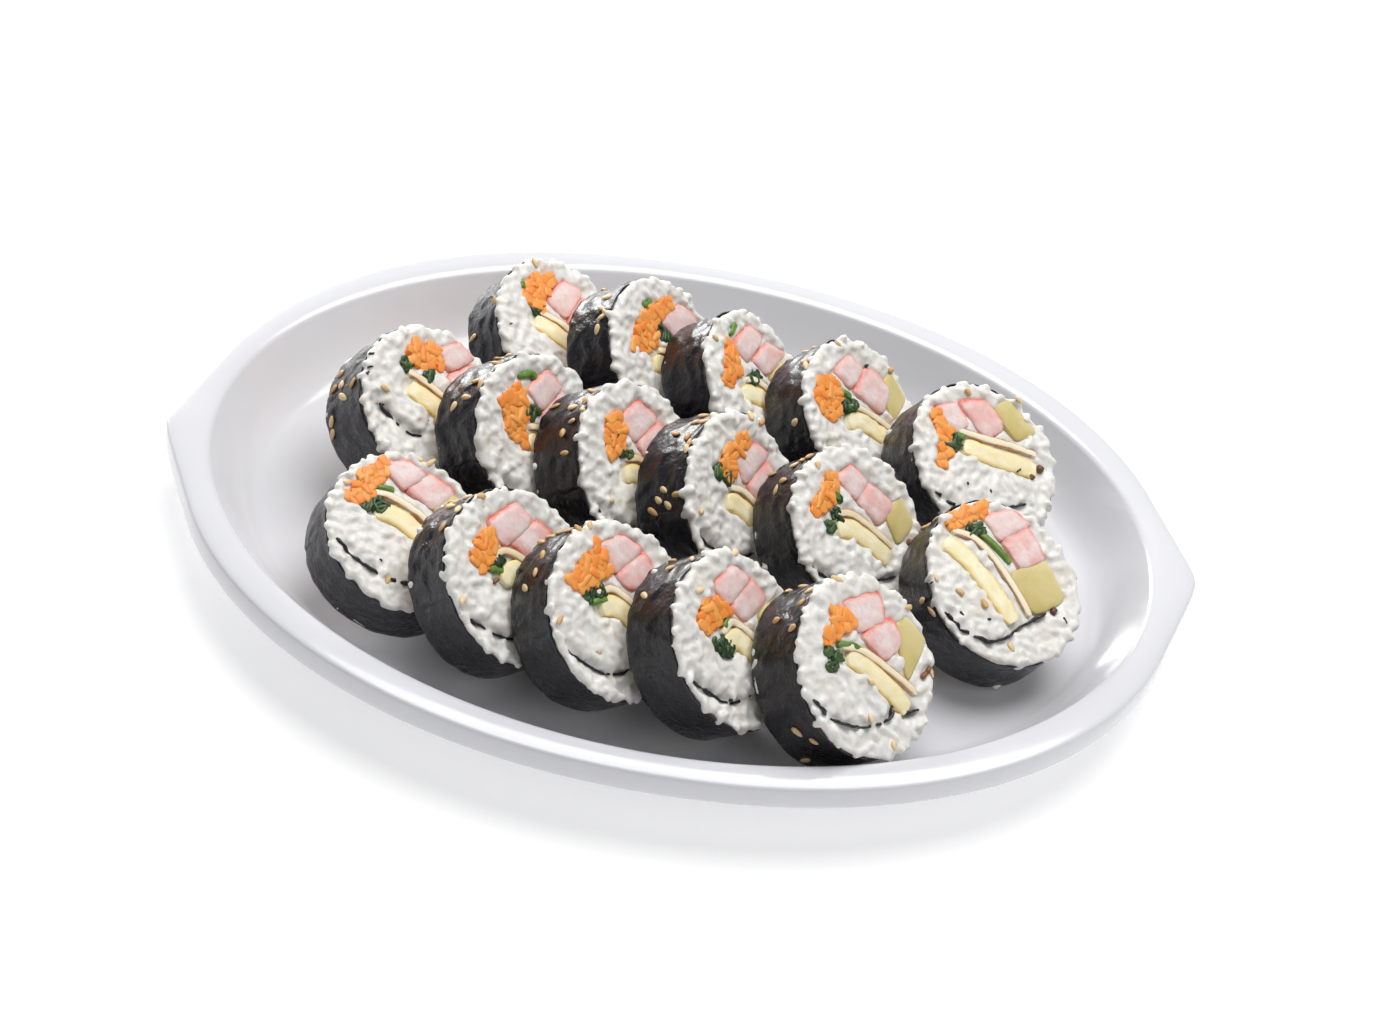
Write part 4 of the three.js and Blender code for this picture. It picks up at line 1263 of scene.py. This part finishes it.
slices = [Slice(name, *sizes) for name, sizes in SLICES.items()]
seaweed, rice = dark_seaweed(), moist_rice()
grains = rice_grain_tree(rice)
surfaces = {}
for slice_ in slices:
    wrap = seaweed_wrap(slice_, seaweed)
    body = grow(rice_mass(slice_, rice), grains, GRAIN_BLEND * MM, grain_length=GRAIN_LENGTH * MM,
                grain_width=GRAIN_WIDTH * MM, spacing=GRAIN_SPACING * MM, seed=slice_.seed)
    surfaces[slice_.name] = surface_of(wrap, body)
    finish_piece(wrap, "seaweed", slice_.node)
    finish_piece(body, "rice", slice_.node)
finish_piece(sesame_seeds(slices, surfaces, sesame_tree(toasted_sesame())), "sesame")

# Each filling: the name of its pieces, its slot, its finish, and what lays it into a slice.
KINDS = (
    ("carrot_shreds", "carrot", shredded_carrot(), carrot_shreds),
    ("pink_sticks", "pink_stick", pink_stick(), pink_sticks),
    ("radish_bars", "radish", pickled_radish(), radish_bar),
    ("fish_cake_strips", "fish_cake", fish_cake(), fish_cake_strip),
    ("egg_strips", "egg", egg_slab(), egg_strip),
    ("greens", "greens", wilted_greens(), greens),
    ("burdock", "burdock", braised_burdock(), burdock_bits),
)
for row in ROWS:
    for name, slot, material, fill in KINDS:
        heap = Heap()
        draw = random.Random(row + name)
        for slice_ in slices:
            if slice_.name.startswith(row):
                fill(heap, slice_, draw)
        finish_piece(heap.piece(f"{name}_{row}", material), slot)
heap, draw = Heap(), random.Random("crumbs")
for slice_ in slices:
    seaweed_crumbs(heap, slice_, draw)
finish_piece(heap.piece("seaweed_crumbs", seaweed), "seaweed")


# ---- floor, light and camera ----

def pale_floor():
    finish = Finish("pale floor")
    colour = finish.blend(finish.cloud(3, 2), (0.66, 0.66, 0.66), (0.68, 0.68, 0.68))
    material = finish.surface(colour, 0.8, finish.relief((finish.cloud(40, 2), 0.02)),
                              Emission_Color=(1, 1, 1, 1), Emission_Strength=0.46)
    mesh = bpy.data.meshes.new("floor")
    corners = [(x * FLOOR_REACH, y * FLOOR_REACH, 0) for x, y in ((-1, -1), (1, -1), (1, 1), (-1, 1))]
    mesh.from_pydata(corners, [], [(0, 1, 2, 3)])
    mesh.materials.append(material)
    stand("floor", mesh)


def softbox(name, place, size, power):
    """A round soft light that looks at the food. Its place and size are in metres."""
    light = bpy.data.lights.new(name, "AREA")
    light.shape, light.size, light.energy = "DISK", size, power
    lamp = stand(name, light)
    lamp.location = place
    lamp.rotation_euler = (Vector(LIGHTS_AIM) - Vector(place)).to_track_quat("-Z", "Y").to_euler()


def light_all_round():
    """A weak, slightly blue light from everywhere."""
    world = bpy.data.worlds.new("studio")
    world.use_nodes = True
    background = world.node_tree.nodes["Background"].inputs
    background["Color"].default_value = (0.97, 0.98, 1, 1)
    background["Strength"].default_value = 0.18
    bpy.context.scene.world = world


def photo_camera():
    """Looks at the platter from where the photograph was taken."""
    azimuth, elevation, roll = (math.radians(a) for a in (VIEW_AZIMUTH, VIEW_ELEVATION, VIEW_ROLL))
    back = np.array((math.sin(azimuth) * math.cos(elevation), -math.cos(azimuth) * math.cos(elevation),
                     math.sin(elevation)))
    level = np.array((math.cos(azimuth), math.sin(azimuth), 0))
    above = np.cross(back, level)
    right = math.cos(roll) * level + math.sin(roll) * above
    up = -math.sin(roll) * level + math.cos(roll) * above
    place = (np.array(LOOKS_AT) + VIEW_DISTANCE * back) * MM
    camera = stand("camera", bpy.data.cameras.new("camera"))
    camera.matrix_world = Matrix([*np.column_stack([right, up, back, place]).tolist(), (0, 0, 0, 1)])
    camera.data.lens = LENS
    camera.data.shift_x, camera.data.shift_y = VIEW_SHIFT
    camera.data.dof.use_dof = False
    bpy.context.scene.camera = camera


pale_floor()
softbox("overhead", (0.16, 0.30, 1.2), size=1.2, power=17)
softbox("low behind", (-0.8, 1.6, 0.42), size=0.9, power=27)
softbox("front fill", (0.7, -0.9, 1.0), size=1.2, power=3)
light_all_round()
bpy.context.scene.view_settings.view_transform = "Standard"
photo_camera()
